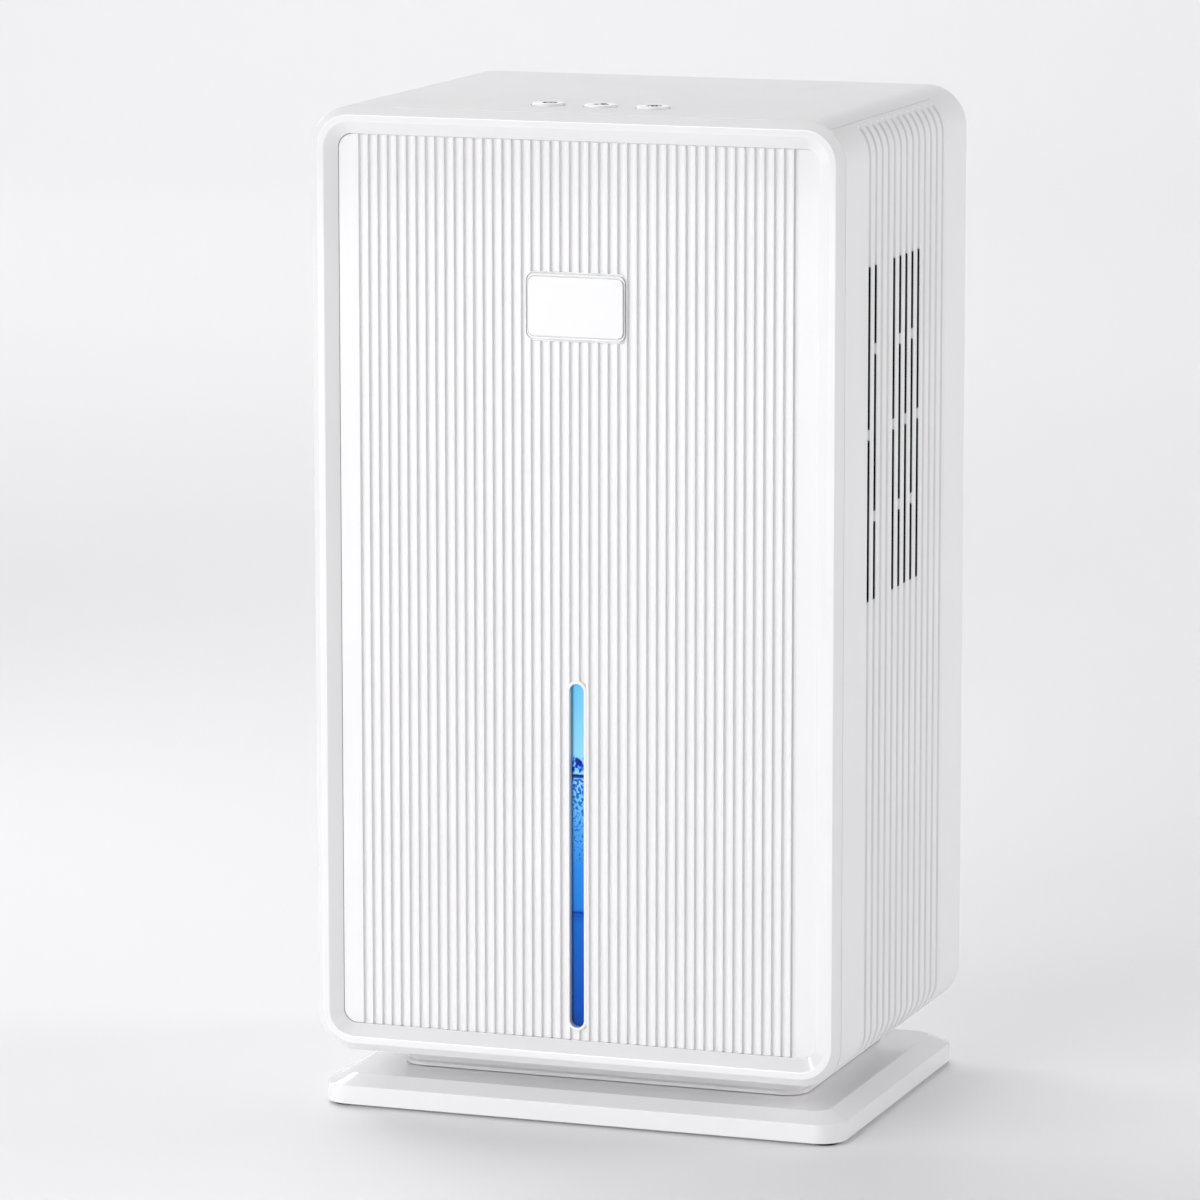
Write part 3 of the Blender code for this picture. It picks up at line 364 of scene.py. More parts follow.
class Finish:
    """A procedural material, with short ways to add the nodes that most finishes share."""

    def __init__(self, name):
        self.material = bpy.data.materials.new(name)
        self.material.use_nodes = True
        self.nodes = self.material.node_tree.nodes
        self.links = self.material.node_tree.links
        self.shader = self.nodes["Principled BSDF"]
        self.place = self.nodes.new("ShaderNodeTexCoord").outputs["Object"]

    def set(self, **values):
        for key, value in values.items():
            self.shader.inputs[key.replace("_", " ")].default_value = value
        return self

    def noise(self, scale, detail=3.0, stretch=(1.0, 1.0, 1.0)):
        mapping = self.nodes.new("ShaderNodeMapping")
        mapping.inputs["Scale"].default_value = stretch
        self.links.new(self.place, mapping.inputs["Vector"])
        texture = self.nodes.new("ShaderNodeTexNoise")
        texture.inputs["Scale"].default_value = scale
        texture.inputs["Detail"].default_value = detail
        self.links.new(mapping.outputs["Vector"], texture.inputs["Vector"])
        return texture.outputs["Fac"]

    def spread(self, source, low, high):
        """Map a noise, whose values lie mostly between 0.3 and 0.7, to a range."""
        node = self.nodes.new("ShaderNodeMapRange")
        node.inputs["From Min"].default_value = 0.3
        node.inputs["From Max"].default_value = 0.7
        node.inputs["To Min"].default_value = low
        node.inputs["To Max"].default_value = high
        self.links.new(source, node.inputs["Value"])
        return node.outputs["Result"]

    def color(self, source, first, second):
        mix = self.nodes.new("ShaderNodeMix")
        mix.data_type = "RGBA"
        mix.inputs["A"].default_value = (*first, 1.0)
        mix.inputs["B"].default_value = (*second, 1.0)
        self.links.new(source, mix.inputs["Factor"])
        self.links.new(mix.outputs["Result"], self.shader.inputs["Base Color"])
        return self

    def roughness(self, source, low, high):
        self.links.new(self.spread(source, low, high), self.shader.inputs["Roughness"])
        return self

    def bump(self, source, depth):
        node = self.nodes.new("ShaderNodeBump")
        node.inputs["Distance"].default_value = depth
        self.links.new(source, node.inputs["Height"])
        self.links.new(node.outputs["Normal"], self.shader.inputs["Normal"])
        return self


def shade(color, factor):
    return tuple(min(1.0, value * factor) for value in color)


def plastic(name, color, rough, grain_size, grain_depth, cloud=0.012):
    """Moulded plastic: faint clouding, slightly uneven gloss and a fine grain."""
    finish = Finish(name)
    soft = finish.noise(18.0, 2.0)
    finish.color(finish.spread(soft, 0.0, 1.0), shade(color, 1.0 - cloud), shade(color, 1.0 + cloud))
    finish.roughness(finish.noise(60.0, 4.0), rough - 0.03, rough + 0.03)
    finish.bump(finish.noise(1.0 / grain_size, 2.0), grain_depth)
    return finish


def metal(name, color, rough, stretch):
    """Metal with fine lines drawn along one direction."""
    finish = Finish(name)
    lines = finish.noise(900.0, 4.0, stretch)
    finish.color(finish.spread(lines, 0.0, 1.0), shade(color, 0.85), shade(color, 1.1))
    finish.roughness(lines, rough - 0.06, rough + 0.08)
    finish.bump(lines, 0.00003)
    finish.set(Metallic=1.0)
    return finish


def window_material():
    """The lit picture behind the window: pale air, a choppy surface, flecks and deepening water."""
    finish = Finish("blue_lens")
    nodes = finish.nodes
    links = finish.links

    def math_node(operation, first, second):
        node = nodes.new("ShaderNodeMath")
        node.operation = operation
        for socket, value in zip(node.inputs, (first, second)):
            if isinstance(value, float):
                socket.default_value = value
            else:
                links.new(value, socket)
        return node.outputs["Value"]

    def ramp(source, stops):
        node = nodes.new("ShaderNodeValToRGB")
        elements = node.color_ramp.elements
        while len(elements) < len(stops):
            elements.new(1.0)
        for element, (position, color) in zip(elements, stops):
            element.position = position
            element.color = (*color, 1.0)
        links.new(source, node.inputs["Fac"])
        return node.outputs["Color"]

    def mix(factor, first, second):
        node = nodes.new("ShaderNodeMix")
        node.data_type = "RGBA"
        if isinstance(factor, float):
            node.inputs["Factor"].default_value = factor
        else:
            links.new(factor, node.inputs["Factor"])
        for key, value in (("A", first), ("B", second)):
            if isinstance(value, tuple):
                node.inputs[key].default_value = (*value, 1.0)
            else:
                links.new(value, node.inputs[key])
        return node.outputs["Result"]

    parts = nodes.new("ShaderNodeSeparateXYZ")
    links.new(finish.place, parts.inputs["Vector"])
    level = nodes.new("ShaderNodeMapRange")
    level.inputs["From Min"].default_value = WINDOW_BOTTOM * MILLIMETRE
    level.inputs["From Max"].default_value = WINDOW_TOP * MILLIMETRE
    links.new(parts.outputs["Z"], level.inputs["Value"])
    height = level.outputs["Result"]

    chop = finish.noise(260.0, 2.0, (1.0, 0.2, 0.5))
    ripple = math_node("MULTIPLY", math_node("SUBTRACT", chop, 0.5), 0.05)
    wavy = math_node("ADD", height, ripple)
    none = (0.0, 0.0, 0.0)
    full = (1.0, 1.0, 1.0)
    navy = (0.0, 0.012, 0.26)
    deep = (0.0, 0.075, 0.46)
    middle = (0.004, 0.135, 0.6)
    bright = (0.02, 0.25, 0.8)
    pale = (0.17, 0.55, 0.92)
    sky = (0.15, 0.58, 0.94)
    haze = (0.3, 0.72, 0.96)
    depth = ramp(height, (
        (0.0, (0.0, 0.05, 0.3)),
        (0.05, deep),
        (0.3, middle),
        (0.325, (0.0, 0.09, 0.5)),
        (0.345, (0.012, 0.21, 0.73)),
        (0.46, bright),
        (0.58, (0.08, 0.38, 0.85)),
        (0.66, pale),
        (0.72, (0.3, 0.7, 0.96)),
        (0.79, haze),
        (1.0, sky),
    ))
    surface = ramp(wavy, (
        (0.0, none),
        (0.741, none),
        (0.746, full),
        (0.782, full),
        (0.787, none),
    ))
    swirl = ramp(finish.noise(420.0, 2.0, (1.0, 0.2, 0.8)), (
        (0.42, navy),
        (0.52, (0.0, 0.11, 0.76)),
        (0.58, (0.25, 0.62, 1.0)),
    ))
    picture = mix(surface, depth, swirl)

    def stripe(centre, half, source):
        return ramp(source, (
            (0.0, none),
            (centre - half, none),
            (centre - half + 0.002, full),
            (centre + half - 0.002, full),
            (centre + half, none),
        ))

    calm = math_node("ADD", height, math_node("MULTIPLY", ripple, 0.12))
    picture = mix(stripe(0.731, 0.0062, calm), picture, navy)
    lower = math_node("ADD", height, math_node("MULTIPLY", ripple, 0.2))
    picture = mix(stripe(0.333, 0.0045, lower), picture, (0.0, 0.03, 0.33))

    zone = ramp(height, (
        (0.4, none),
        (0.6, (0.5, 0.5, 0.5)),
        (0.68, (0.9, 0.9, 0.9)),
        (0.72, full),
    ))
    below = ramp(height, (
        (0.45, none),
        (0.5, full),
        (0.725, full),
        (0.727, none),
    ))
    crowd = math_node("ADD", finish.noise(900.0, 3.0), math_node("MULTIPLY", zone, 0.13))
    flecks = math_node("MULTIPLY", ramp(crowd, ((0.6, none), (0.64, full))), below)
    picture = mix(flecks, picture, (0.004, 0.14, 0.68))

    # Painted shadow: the picture darkens to near-black along its left edge, standing for the shade the
    # recess wall casts on the lens
    across = nodes.new("ShaderNodeMapRange")
    across.inputs["From Min"].default_value = -WINDOW_RADIUS * MILLIMETRE
    across.inputs["From Max"].default_value = WINDOW_RADIUS * MILLIMETRE
    links.new(parts.outputs["X"], across.inputs["Value"])
    painted_edge_shadow = ramp(across.outputs["Result"], (
        (0.0, (0.85, 0.85, 0.85)),
        (0.1, (0.45, 0.45, 0.45)),
        (0.22, none),
    ))
    picture = mix(painted_edge_shadow, picture, (0.004, 0.02, 0.09))

    links.new(mix(0.7, picture, none), finish.shader.inputs["Base Color"])
    links.new(picture, finish.shader.inputs["Emission Color"])
    finish.set(Emission_Strength=0.7, Roughness=0.15, Specular_IOR_Level=0.12)
    return finish


def clear_plastic(name, color, alpha):
    finish = Finish(name)
    finish.color(finish.spread(finish.noise(30.0), 0.0, 1.0), shade(color, 0.97), color)
    finish.roughness(finish.noise(80.0), 0.06, 0.12)
    finish.bump(finish.noise(140.0, 1.0), 0.00004)
    finish.set(Alpha=alpha)
    return finish


def board_material():
    """Solder mask with paler traces under it."""
    finish = Finish("circuit_board")
    traces = finish.nodes.new("ShaderNodeTexBrick")
    traces.inputs["Scale"].default_value = 160.0
    traces.inputs["Color1"].default_value = (0.01, 0.13, 0.05, 1.0)
    traces.inputs["Color2"].default_value = (0.012, 0.16, 0.06, 1.0)
    traces.inputs["Mortar"].default_value = (0.05, 0.3, 0.12, 1.0)
    traces.inputs["Mortar Size"].default_value = 0.03
    finish.links.new(finish.place, traces.inputs["Vector"])
    finish.links.new(traces.outputs["Color"], finish.shader.inputs["Base Color"])
    finish.roughness(finish.noise(300.0), 0.3, 0.45)
    finish.bump(traces.outputs["Fac"], 0.00004)
    return finish


def winding_material():
    """Turns of enamelled wire."""
    finish = Finish("copper")
    waves = finish.nodes.new("ShaderNodeTexWave")
    waves.bands_direction = "Y"
    waves.inputs["Scale"].default_value = 700.0
    waves.inputs["Distortion"].default_value = 1.5
    finish.links.new(finish.place, waves.inputs["Vector"])
    finish.color(waves.outputs["Fac"], (0.35, 0.13, 0.06), (0.85, 0.42, 0.24))
    finish.bump(waves.outputs["Fac"], 0.0002)
    finish.set(Metallic=1.0, Roughness=0.3)
    return finish


WHITE = (0.838, 0.832, 0.84)


def make_materials():
    finishes = {
        "gloss_white": plastic("gloss_white", WHITE, 0.12, 0.0005, 0.0000003),
        "satin_white": plastic("satin_white", WHITE, 0.34, 0.0006, 0.000002),
        "base_white": plastic("base_white", WHITE, 0.12, 0.0005, 0.0000003),
        "badge_white": plastic("badge_white", (0.86, 0.86, 0.87), 0.12, 0.003, 0.000002),
        "dark_plastic": plastic("dark_plastic", (0.012, 0.012, 0.013), 0.6, 0.0004, 0.00004, 0.15),
        "inner_plastic": plastic("inner_plastic", (0.45, 0.45, 0.46), 0.5, 0.0004, 0.00004, 0.03),
        "blue_lens": window_material(),
        "clear_tank": clear_plastic("clear_tank", (0.72, 0.84, 0.95), 0.35),
        "diffuser": plastic("diffuser", (0.8, 0.86, 0.92), 0.55, 0.0003, 0.00003),
        "circuit_board": board_material(),
        "aluminium": metal("aluminium", (0.66, 0.67, 0.69), 0.32, (1.0, 1.0, 0.03)),
        "steel": metal("steel", (0.5, 0.5, 0.52), 0.28, (1.0, 1.0, 1.0)),
        "brass": metal("brass", (0.62, 0.42, 0.18), 0.35, (1.0, 0.2, 1.0)),
        "copper": winding_material(),
        "ceramic": plastic("ceramic", (0.8, 0.8, 0.77), 0.45, 0.0008, 0.00004, 0.04),
        "foam": plastic("foam", (0.03, 0.03, 0.033), 0.9, 0.0006, 0.0004, 0.25),
        "rubber": plastic("rubber", (0.018, 0.018, 0.018), 0.75, 0.0005, 0.00006, 0.2),
        "float_foam": plastic("float_foam", (0.7, 0.36, 0.1), 0.8, 0.0008, 0.0003, 0.12),
        "magnet": plastic("magnet", (0.1, 0.1, 0.105), 0.4, 0.0006, 0.00006, 0.2),
    }
    finishes["gloss_white"].set(Coat_Weight=1.0, Coat_Roughness=0.02)
    finishes["base_white"].set(Specular_IOR_Level=0.4)
    finishes["badge_white"].set(Coat_Weight=0.4)
    finishes["dark_plastic"].set(Specular_IOR_Level=0.15)
    finishes["magnet"].set(Metallic=0.8)
    return {name: finish.material for name, finish in finishes.items()}


def dress_nodes():
    """Give every CAD node the procedural material of its slot."""
    for entry in frame["record"]["subparts"]:
        node = frame["nodes"][entry["node"]]
        for holder in node.material_slots:
            holder.material = materials[entry["material_slot"]]


# Front

def make_front_frame():
    """A ring with a crisp chamfer outside, a flat band, a sloping reveal inside and a spigot behind."""
    band_inner = FRAME_CHAMFER_WIDTH + FRAME_BAND
    spigot = WALL + GAP
    rebate = PANEL_INSET - GAP
    section = fillet([
        (0.0, SHELL_FRONT - FRONT - SEAM, 0.15),
        (FRAME_CHAMFER_WIDTH, 0.0, 0.6),
        (band_inner, 0.0, 0.9),
        (OPENING_INSET, REVEAL_DEPTH, 0.35),
        (OPENING_INSET, FRAME_LIP_DEPTH, 0.0),
        (rebate, FRAME_LIP_DEPTH, 0.0),
        (rebate, FRAME_SPIGOT_DEPTH, 0.0),
        (spigot, FRAME_SPIGOT_DEPTH, 0.0),
        (spigot, SHELL_FRONT - FRONT - SEAM, 0.0),
    ])
    rings = [lift(body_outline(inset), FRONT + depth, "Y") for inset, depth in section]
    dress(solid("front_frame_fine", loft(rings, ring=True)), "gloss_white", "housing", "front_frame")


def flute_section():
    """Cross-section of the flutes, seen from above: round-shouldered ribs over hollowed channels."""
    root = PANEL_FACE + 0.9
    floor = PANEL_FACE - 0.02
    corners = [
        (FIRST_FLUTE - 1.0, root, 0.0),
        (FIRST_FLUTE - 1.0, RIB_TOP, 0.0),
        (FIRST_FLUTE, RIB_TOP, 0.22),
    ]
    for index in range(1, FLUTE_COUNT):
        right = FIRST_FLUTE + index * FLUTE_PITCH
        left = right - RIB_WIDTH
        corners += [
            (right - FLUTE_PITCH + 0.12, floor, 0.75),
            (left - 0.12, floor, 0.5),
            (left, RIB_TOP, 0.22),
            (right, RIB_TOP, 0.22),
        ]
    end = FIRST_FLUTE + (FLUTE_COUNT - 1) * FLUTE_PITCH
    corners += [(end + 0.12, floor, 0.5), (end + 1.2, floor, 0.0), (end + 1.2, root, 0.0)]
    return fillet(corners)


def window_outline(grow):
    return stadium(WINDOW_RADIUS + grow, WINDOW_BOTTOM - grow, WINDOW_TOP + grow)


def window_rim(section):
    """A ring that follows the window's outline; the section holds (distance outside, depth, radius)."""
    return loft([lift(window_outline(grow), depth, "Y") for grow, depth in fillet(section)], ring=True)


def badge_outline(grow):
    low = (badge_low.x - grow, badge_low.z - grow)
    high = (badge_high.x + grow, badge_high.z + grow)
    return rounded_rectangle(low, high, BADGE_CORNER + grow, 10)


def make_front_panel():
    """Fluted panel: a plain raised margin on the left, ribs, and a plain sunk margin on the right."""
    panel = solid("front_panel_fine", prism(body_outline(PANEL_INSET), PANEL_FACE, PANEL_BACK, "Y"))
    low_z = BODY_BOTTOM + OPENING_INSET + OPENING_CLEARANCE
    high_z = BODY_TOP - OPENING_INSET - OPENING_CLEARANCE
    left = -HALF_WIDTH + OPENING_INSET + OPENING_CLEARANCE
    corner = BODY_CORNER - OPENING_INSET
    margin = [(FIRST_FLUTE - 0.5, low_z), (FIRST_FLUTE - 0.5, high_z)]
    margin += arc((left + corner, high_z - corner), corner, 90.0, 180.0, 10)
    margin += arc((left + corner, low_z + corner), corner, 180.0, 270.0, 10)
    join(panel, prism(flute_section(), low_z, high_z, "Z"))
    join(panel, prism(margin, RIB_TOP, PANEL_FACE + 0.7, "Y"))
    rim_top = RIB_TOP - 0.15
    rim_outer = GAP + WINDOW_COLLAR
    rim = window_rim([
        (GAP - 0.2, PANEL_FACE + 0.6, 0.0),
        (GAP - 0.2, rim_top, 0.25),
        (rim_outer, rim_top, 0.5),
        (rim_outer + 0.15, PANEL_FACE + 0.6, 0.0),
    ])
    join(panel, rim)
    seat = [lift(badge_outline(BADGE_RIM), PANEL_FACE + 0.6, "Y")]
    rounding = 0.4
    for turn in range(5):
        angle = math.radians(90.0 * turn / 4)
        outline = badge_outline(BADGE_RIM - rounding * (1.0 - math.cos(angle)))
        seat.append(lift(outline, RIB_TOP - 0.2 + rounding * (1.0 - math.sin(angle)), "Y"))
    join(panel, loft(seat))
    cut(panel, prism(window_outline(GAP * 0.5), FRONT, PANEL_BACK + 1.0, "Y"))
    cut(panel, prism(badge_outline(BADGE_GAP), FRONT, RIB_TOP + 0.7, "Y"))
    dress(panel, "gloss_white", "housing", "front_panel")


def make_badge():
    """A blank plate with a rolled edge, raised from a flange that shows above and below it."""
    flange = RIB_TOP - BADGE_FLANGE
    groove_floor = flange + 0.7
    face = RIB_TOP - BADGE_STAND

    def face_outline(inset):
        low = (badge_low.x + BADGE_SIDE + inset, badge_low.z + BADGE_STEP + inset)
        high = (badge_high.x - BADGE_SIDE - inset, badge_high.z - BADGE_STEP - inset)
        return rounded_rectangle(low, high, BADGE_FACE_CORNER - inset, 10)

    rings = [
        lift(badge_outline(0.0), badge_high.y, "Y"),
        lift(badge_outline(0.0), flange + 0.1, "Y"),
        lift(badge_outline(-0.1), flange, "Y"),
        lift(face_outline(-BADGE_GROOVE), flange, "Y"),
        lift(face_outline(-BADGE_GROOVE), groove_floor, "Y"),
        lift(face_outline(0.0), groove_floor, "Y"),
    ]
    for turn in range(7):
        angle = math.radians(90.0 * turn / 6)
        outline = face_outline(BADGE_EDGE * (1.0 - math.cos(angle)))
        rings.append(lift(outline, face + BADGE_EDGE * (1.0 - math.sin(angle)), "Y"))
    dress(solid("badge_plate_fine", loft(rings)), "badge_white", "housing", "badge_plate")


def make_window():
    """A lens sunk in its hole, over the flange that holds it behind the panel."""
    face = RIB_TOP + WINDOW_RECESS
    shoulder = PANEL_BACK + GAP
    flange = window_high.x - WINDOW_RADIUS
    section = [(flange, shoulder + 0.8), (flange, shoulder), (0.0, shoulder)]
    for turn in range(5):
        angle = math.radians(90.0 * turn / 4)
        section.append((-0.6 * (1.0 - math.cos(angle)), face + 0.35 * (1.0 - math.sin(angle))))
    rings = [lift(window_outline(grow), depth, "Y") for grow, depth in section]
    dress(solid("window_lens_fine", loft(rings)), "blue_lens", "housing", "window_lens")


# Sides

def shell_point(station, inset, side):
    """A point on one side's outline, at a length down from where the upper corner starts."""
    radius = BODY_CORNER
    straight = BODY_TOP - BODY_BOTTOM - 2 * radius
    centre_x = HALF_WIDTH - radius
    if station < QUARTER:
        turn = station / radius
        x = side * (centre_x + (radius - inset) * math.sin(turn))
        return x, BODY_TOP - radius + (radius - inset) * math.cos(turn)
    if station < QUARTER + straight:
        return side * (HALF_WIDTH - inset), BODY_TOP - radius - (station - QUARTER)
    turn = math.pi / 2 + (station - QUARTER - straight) / radius
    x = side * (centre_x + (radius - inset) * math.sin(turn))
    return x, BODY_BOTTOM + radius + (radius - inset) * math.cos(turn)


def groove_centre(index):
    return (index - (GROOVE_COUNT - 1) / 2) * GROOVE_PITCH


def groove_share(distance):
    """How deep a groove is at a distance from its centre line, from 1 at the floor to 0 on the land."""
    lip = GROOVE_WIDTH / 2
    if distance <= GROOVE_FLOOR:
        return 1.0
    if distance >= lip + GROOVE_EASE:
        return 0.0
    crown = LAND_CROWN / GROOVE_DEPTH
    if distance >= lip:
        rest = (distance - lip) / GROOVE_EASE
        return crown * (1.0 - rest) ** 2
    slope = (distance - GROOVE_FLOOR) / (lip - GROOVE_FLOOR)
    blend = slope * slope * (3.0 - 2.0 * slope)
    return 1.0 - (1.0 - crown) * (0.35 * slope + 0.65 * blend)


def shell_columns():
    """Levels along the depth: close together across each groove, with one on each land's middle."""
    outward = (0.4, 0.8, 0.98, 1.2, 1.42, 1.6, 1.95, 2.6)
    offsets = [-offset for offset in reversed(outward)] + [0.0] + list(outward)
    columns = [SHELL_FRONT + SEAM_BEVEL]
    for index in range(GROOVE_COUNT):
        columns += [groove_centre(index) + offset for offset in offsets]
    columns.append(SHELL_REAR - SEAM_BEVEL)
    return columns


def shell_rows():
    """Lengths down the outline: close together where a groove ends and round the corners."""
    first = BODY_CORNER * math.radians(TOP_SEAM_ANGLE)
    end = BODY_CORNER * math.radians(GROOVE_END_ANGLE)
    upper = [first, first + 0.3, first + 1.0]
    upper += [end + 0.35 * step for step in range(-1, 9)]
    upper += [end + 3.2 + (QUARTER - end - 3.2) * step / 8 for step in range(1, 9)]
    lower = [OUTLINE_LENGTH - value for value in reversed(upper) if value > end - 0.5]
    rest = OUTLINE_LENGTH - end
    lower += [rest + 0.9 + (OUTLINE_LENGTH - rest - 0.9) * step / 8 for step in range(1, 9)]
    return upper + [QUARTER + 0.5, OUTLINE_LENGTH - QUARTER - 0.5] + lower


def shell_shape(side):
    """A curved wall with round-ended grooves."""
    end = BODY_CORNER * math.radians(GROOVE_END_ANGLE)
    half = GROOVE_WIDTH / 2
    rows = shell_rows()
    columns = shell_columns()
    vertices = []
    faces = []
    for station in rows:
        beyond = max(end + half - station, station - (OUTLINE_LENGTH - end - half), 0.0)
        for y in columns:
            depth = 0.0
            for index in range(GROOVE_COUNT):
                across = abs(y - groove_centre(index))
                if across < GROOVE_PITCH:
                    depth = max(depth, groove_share(math.hypot(across, beyond)))
            bevel = SEAM_BEVEL if station == rows[0] else 0.0
            x, z = shell_point(station, max(GROOVE_DEPTH * depth, bevel), side)
            vertices.append((x, y, z))
    width = len(columns)
    for row in range(len(rows) - 1):
        for column in range(width - 1):
            corner = row * width + column
            faces.append((corner, corner + 1, corner + width + 1, corner + width))
    loops = []
    edges = ((SHELL_FRONT, SEAM_BEVEL), (SHELL_FRONT, WALL), (SHELL_REAR, WALL), (SHELL_REAR, SEAM_BEVEL))
    for y, inset in edges:
        loops.append(len(vertices))
        for station in rows:
            x, z = shell_point(station, inset, side)
            vertices.append((x, y, z))
    starts = [0] + loops + [width - 1]
    strides = [width] + [1] * 4 + [width]
    for strip in range(5):
        for row in range(len(rows) - 1):
            here = starts[strip] + strides[strip] * row
            there = starts[strip + 1] + strides[strip + 1] * row
            faces.append((here, here + strides[strip], there + strides[strip + 1], there))
    for row in (0, len(rows) - 1):
        outer = [row * width + column for column in range(width)]
        faces.append(tuple(outer + [loops[3] + row, loops[2] + row, loops[1] + row, loops[0] + row]))
    return vertices, faces


def slot_spans():
    """(groove centre, bottom, top) of every slot opening on one side."""
    spans = []
    for index in sorted(ONE_BRIDGE_SLOTS + TWO_BRIDGE_SLOTS):
        shares = (0.5,) if index in ONE_BRIDGE_SLOTS else (0.25, 0.75)
        low = SLOT_BOTTOM
        for share in shares:
            bridge = SLOT_BOTTOM + (SLOT_TOP - SLOT_BOTTOM) * share
            spans.append((groove_centre(index), low, bridge - SLOT_BRIDGE / 2))
            low = bridge + SLOT_BRIDGE / 2
        spans.append((groove_centre(index), low, SLOT_TOP))
    return spans


def make_side_shell(name, node, side):
    shell = solid(name, shell_shape(side))
    inner, outer = sorted((side * (HALF_WIDTH - WALL - 1.0), side * (HALF_WIDTH + 5.0)))
    slots = []
    for centre, low, high in slot_spans():
        outline = rounded_rectangle((centre - SLOT_WIDTH / 2, low), (centre + SLOT_WIDTH / 2, high), 0.5, 3)
        slots.append(prism(outline, inner, outer, "X"))
    cut(shell, *slots)
    dress(shell, "satin_white", "housing", node)


# Top

def arch(inset):
    """Half of the top's cross-section, from the seam up to the middle plane."""
    seam = math.degrees(SEAM / BODY_CORNER)
    points = []
    for step in range(9):
        turn = math.radians((TOP_SEAM_ANGLE - seam) * (1.0 - step / 8))
        radius = BODY_CORNER - inset
        points.append((HALF_WIDTH - BODY_CORNER + radius * math.sin(turn),
                       BODY_TOP - BODY_CORNER + radius * math.cos(turn)))
    return points


def arch_outline(inset, bottom):
    """The top's whole cross-section, between an outer and an inner line."""
    outer = arch(inset)
    inner = arch(bottom)
    outline = outer + [(-x, z) for x, z in reversed(outer)]
    return outline + [(-x, z) for x, z in inner] + inner[::-1]


def button_places():
    places = []
    for name in BUTTON_NAMES:
        low, high = span(name + "_button")
        places.append((name, (low + high) / 2))
    return places


def make_top_panel():
    """The flat top with both its curved edges and three eased button holes."""
    edge = 0.2
    rings = [
        lift(arch_outline(edge, WALL), SHELL_FRONT, "Y"),
        lift(arch_outline(0.0, WALL), SHELL_FRONT + edge, "Y"),
        lift(arch_outline(0.0, WALL), SHELL_REAR - edge, "Y"),
        lift(arch_outline(edge, WALL), SHELL_REAR, "Y"),
    ]
    panel = solid("top_panel_fine", loft(rings))
    wells = []
    for _, middle in button_places():
        profile = (
            (0.0, BODY_TOP - 5.0),
            (BUTTON_HOLE, BODY_TOP - 5.0),
            (BUTTON_HOLE, BODY_TOP - 0.4),
            (BUTTON_HOLE + 0.12, BODY_TOP - 0.12),
            (BUTTON_HOLE + 0.4, BODY_TOP + 0.01),
            (BUTTON_HOLE + 0.4, BODY_TOP + 1.0),
            (0.0, BODY_TOP + 1.0),
        )
        wells.append(turned(profile, (middle.x, middle.y), "Z", 64))
    cut(panel, *wells)
    dress(panel, "satin_white", "housing", "top_panel")


def stroke(points, width, closed=False):
    """The left and right edges of a line of even width along points, and whether it closes."""
    count = len(points)
    left = []
    right = []
    for index, point in enumerate(points):
        here = Vector(point)
        before = Vector(points[index - 1] if closed or index > 0 else points[0])
        after = Vector(points[(index + 1) % count] if closed or index < count - 1 else points[-1])
        along = (after - before).normalized()
        across = Vector((-along.y, along.x)) * width / 2
        left.append(here + across)
        right.append(here - across)
    return left, right, closed


def printed(name, strokes, level, body):
    """Raised print on a button: every stroke is a thin closed strip."""
    thickness = 0.06
    shapes = []
    for left, right, closed in strokes:
        sections = []
        for one, other in zip(left, right):
            sections.append([
                (one.x, one.y, level),
                (other.x, other.y, level),
                (other.x, other.y, level + thickness),
                (one.x, one.y, level + thickness),
            ])
        shapes.append(loft(sections, ring=closed))
    dress(solid(name, together(*shapes)), "dark_plastic", body)


def make_buttons():
    top = span("power_button")[1].z
    base = span("power_button")[0].z
    for name, middle in button_places():
        edge = 0.45
        dish = 0.06
        profile = [
            (0.0, base),
            (BUTTON_STEM, base),
            (BUTTON_STEM, BODY_TOP - WALL - 1.8),
            (BUTTON_COLLAR, BODY_TOP - WALL - 1.8),
            (BUTTON_COLLAR, BODY_TOP - WALL - GAP),
            (BUTTON_RADIUS, BODY_TOP - WALL - GAP),
        ]
        for turn in range(6):
            angle = math.radians(90.0 * turn / 5)
            radius = BUTTON_RADIUS - edge * (1.0 - math.cos(angle))
            profile.append((radius, top - edge * (1.0 - math.sin(angle))))
        for share in (0.8, 0.6, 0.4, 0.2):
            profile.append((BUTTON_RADIUS * share, top - dish * (1.0 - share * share)))
        profile.append((0.0, top - dish))
        cap = solid(name + "_button_fine", turned(profile, (middle.x, middle.y), "Z", 64))
        dress(cap, "gloss_white", name + "_button", name + "_button")
        make_icon(name, middle, top - dish, name + "_button")


def make_icon(name, middle, level, body):
    """A plain symbol: a ring and bar for power, three vanes for the fan mode, a sun for the light."""
    x, y = middle.x, middle.y + 1.5
    line = 0.9
    if name == "power":
        ring = arc((x, y), 2.4, 125.0, 415.0, 28)
        strokes = [stroke(ring, line), stroke([(x, y + 0.4), (x, y + 3.1)], line)]
    elif name == "mode":
        strokes = [stroke(ring_points((x, y), 0.6, 16), 0.6, True)]
        for vane in range(3):
            turn = math.radians(90.0 + 120.0 * vane)
            centre = (x + 1.9 * math.cos(turn), y + 1.9 * math.sin(turn))
            heading = math.degrees(turn)
            strokes.append(stroke(arc(centre, 1.0, heading - 150.0, heading + 90.0, 12), 0.7))
    else:
        strokes = [stroke(ring_points((x, y), 1.1, 20), 0.75, True)]
        for ray in range(8):
            turn = math.radians(45.0 * ray)
            ends = [(x + reach * math.cos(turn), y + reach * math.sin(turn)) for reach in (2.0, 3.0)]
            strokes.append(stroke(ends, 0.7))
    printed(name + "_icon", strokes, level, body)


# Rear

def rear_screw_places():
    places = []
    for number in range(1, 5):
        low, high = span("rear_screw_%d" % number)
        middle = (low + high) / 2
        places.append((middle.x, middle.z))
    return places


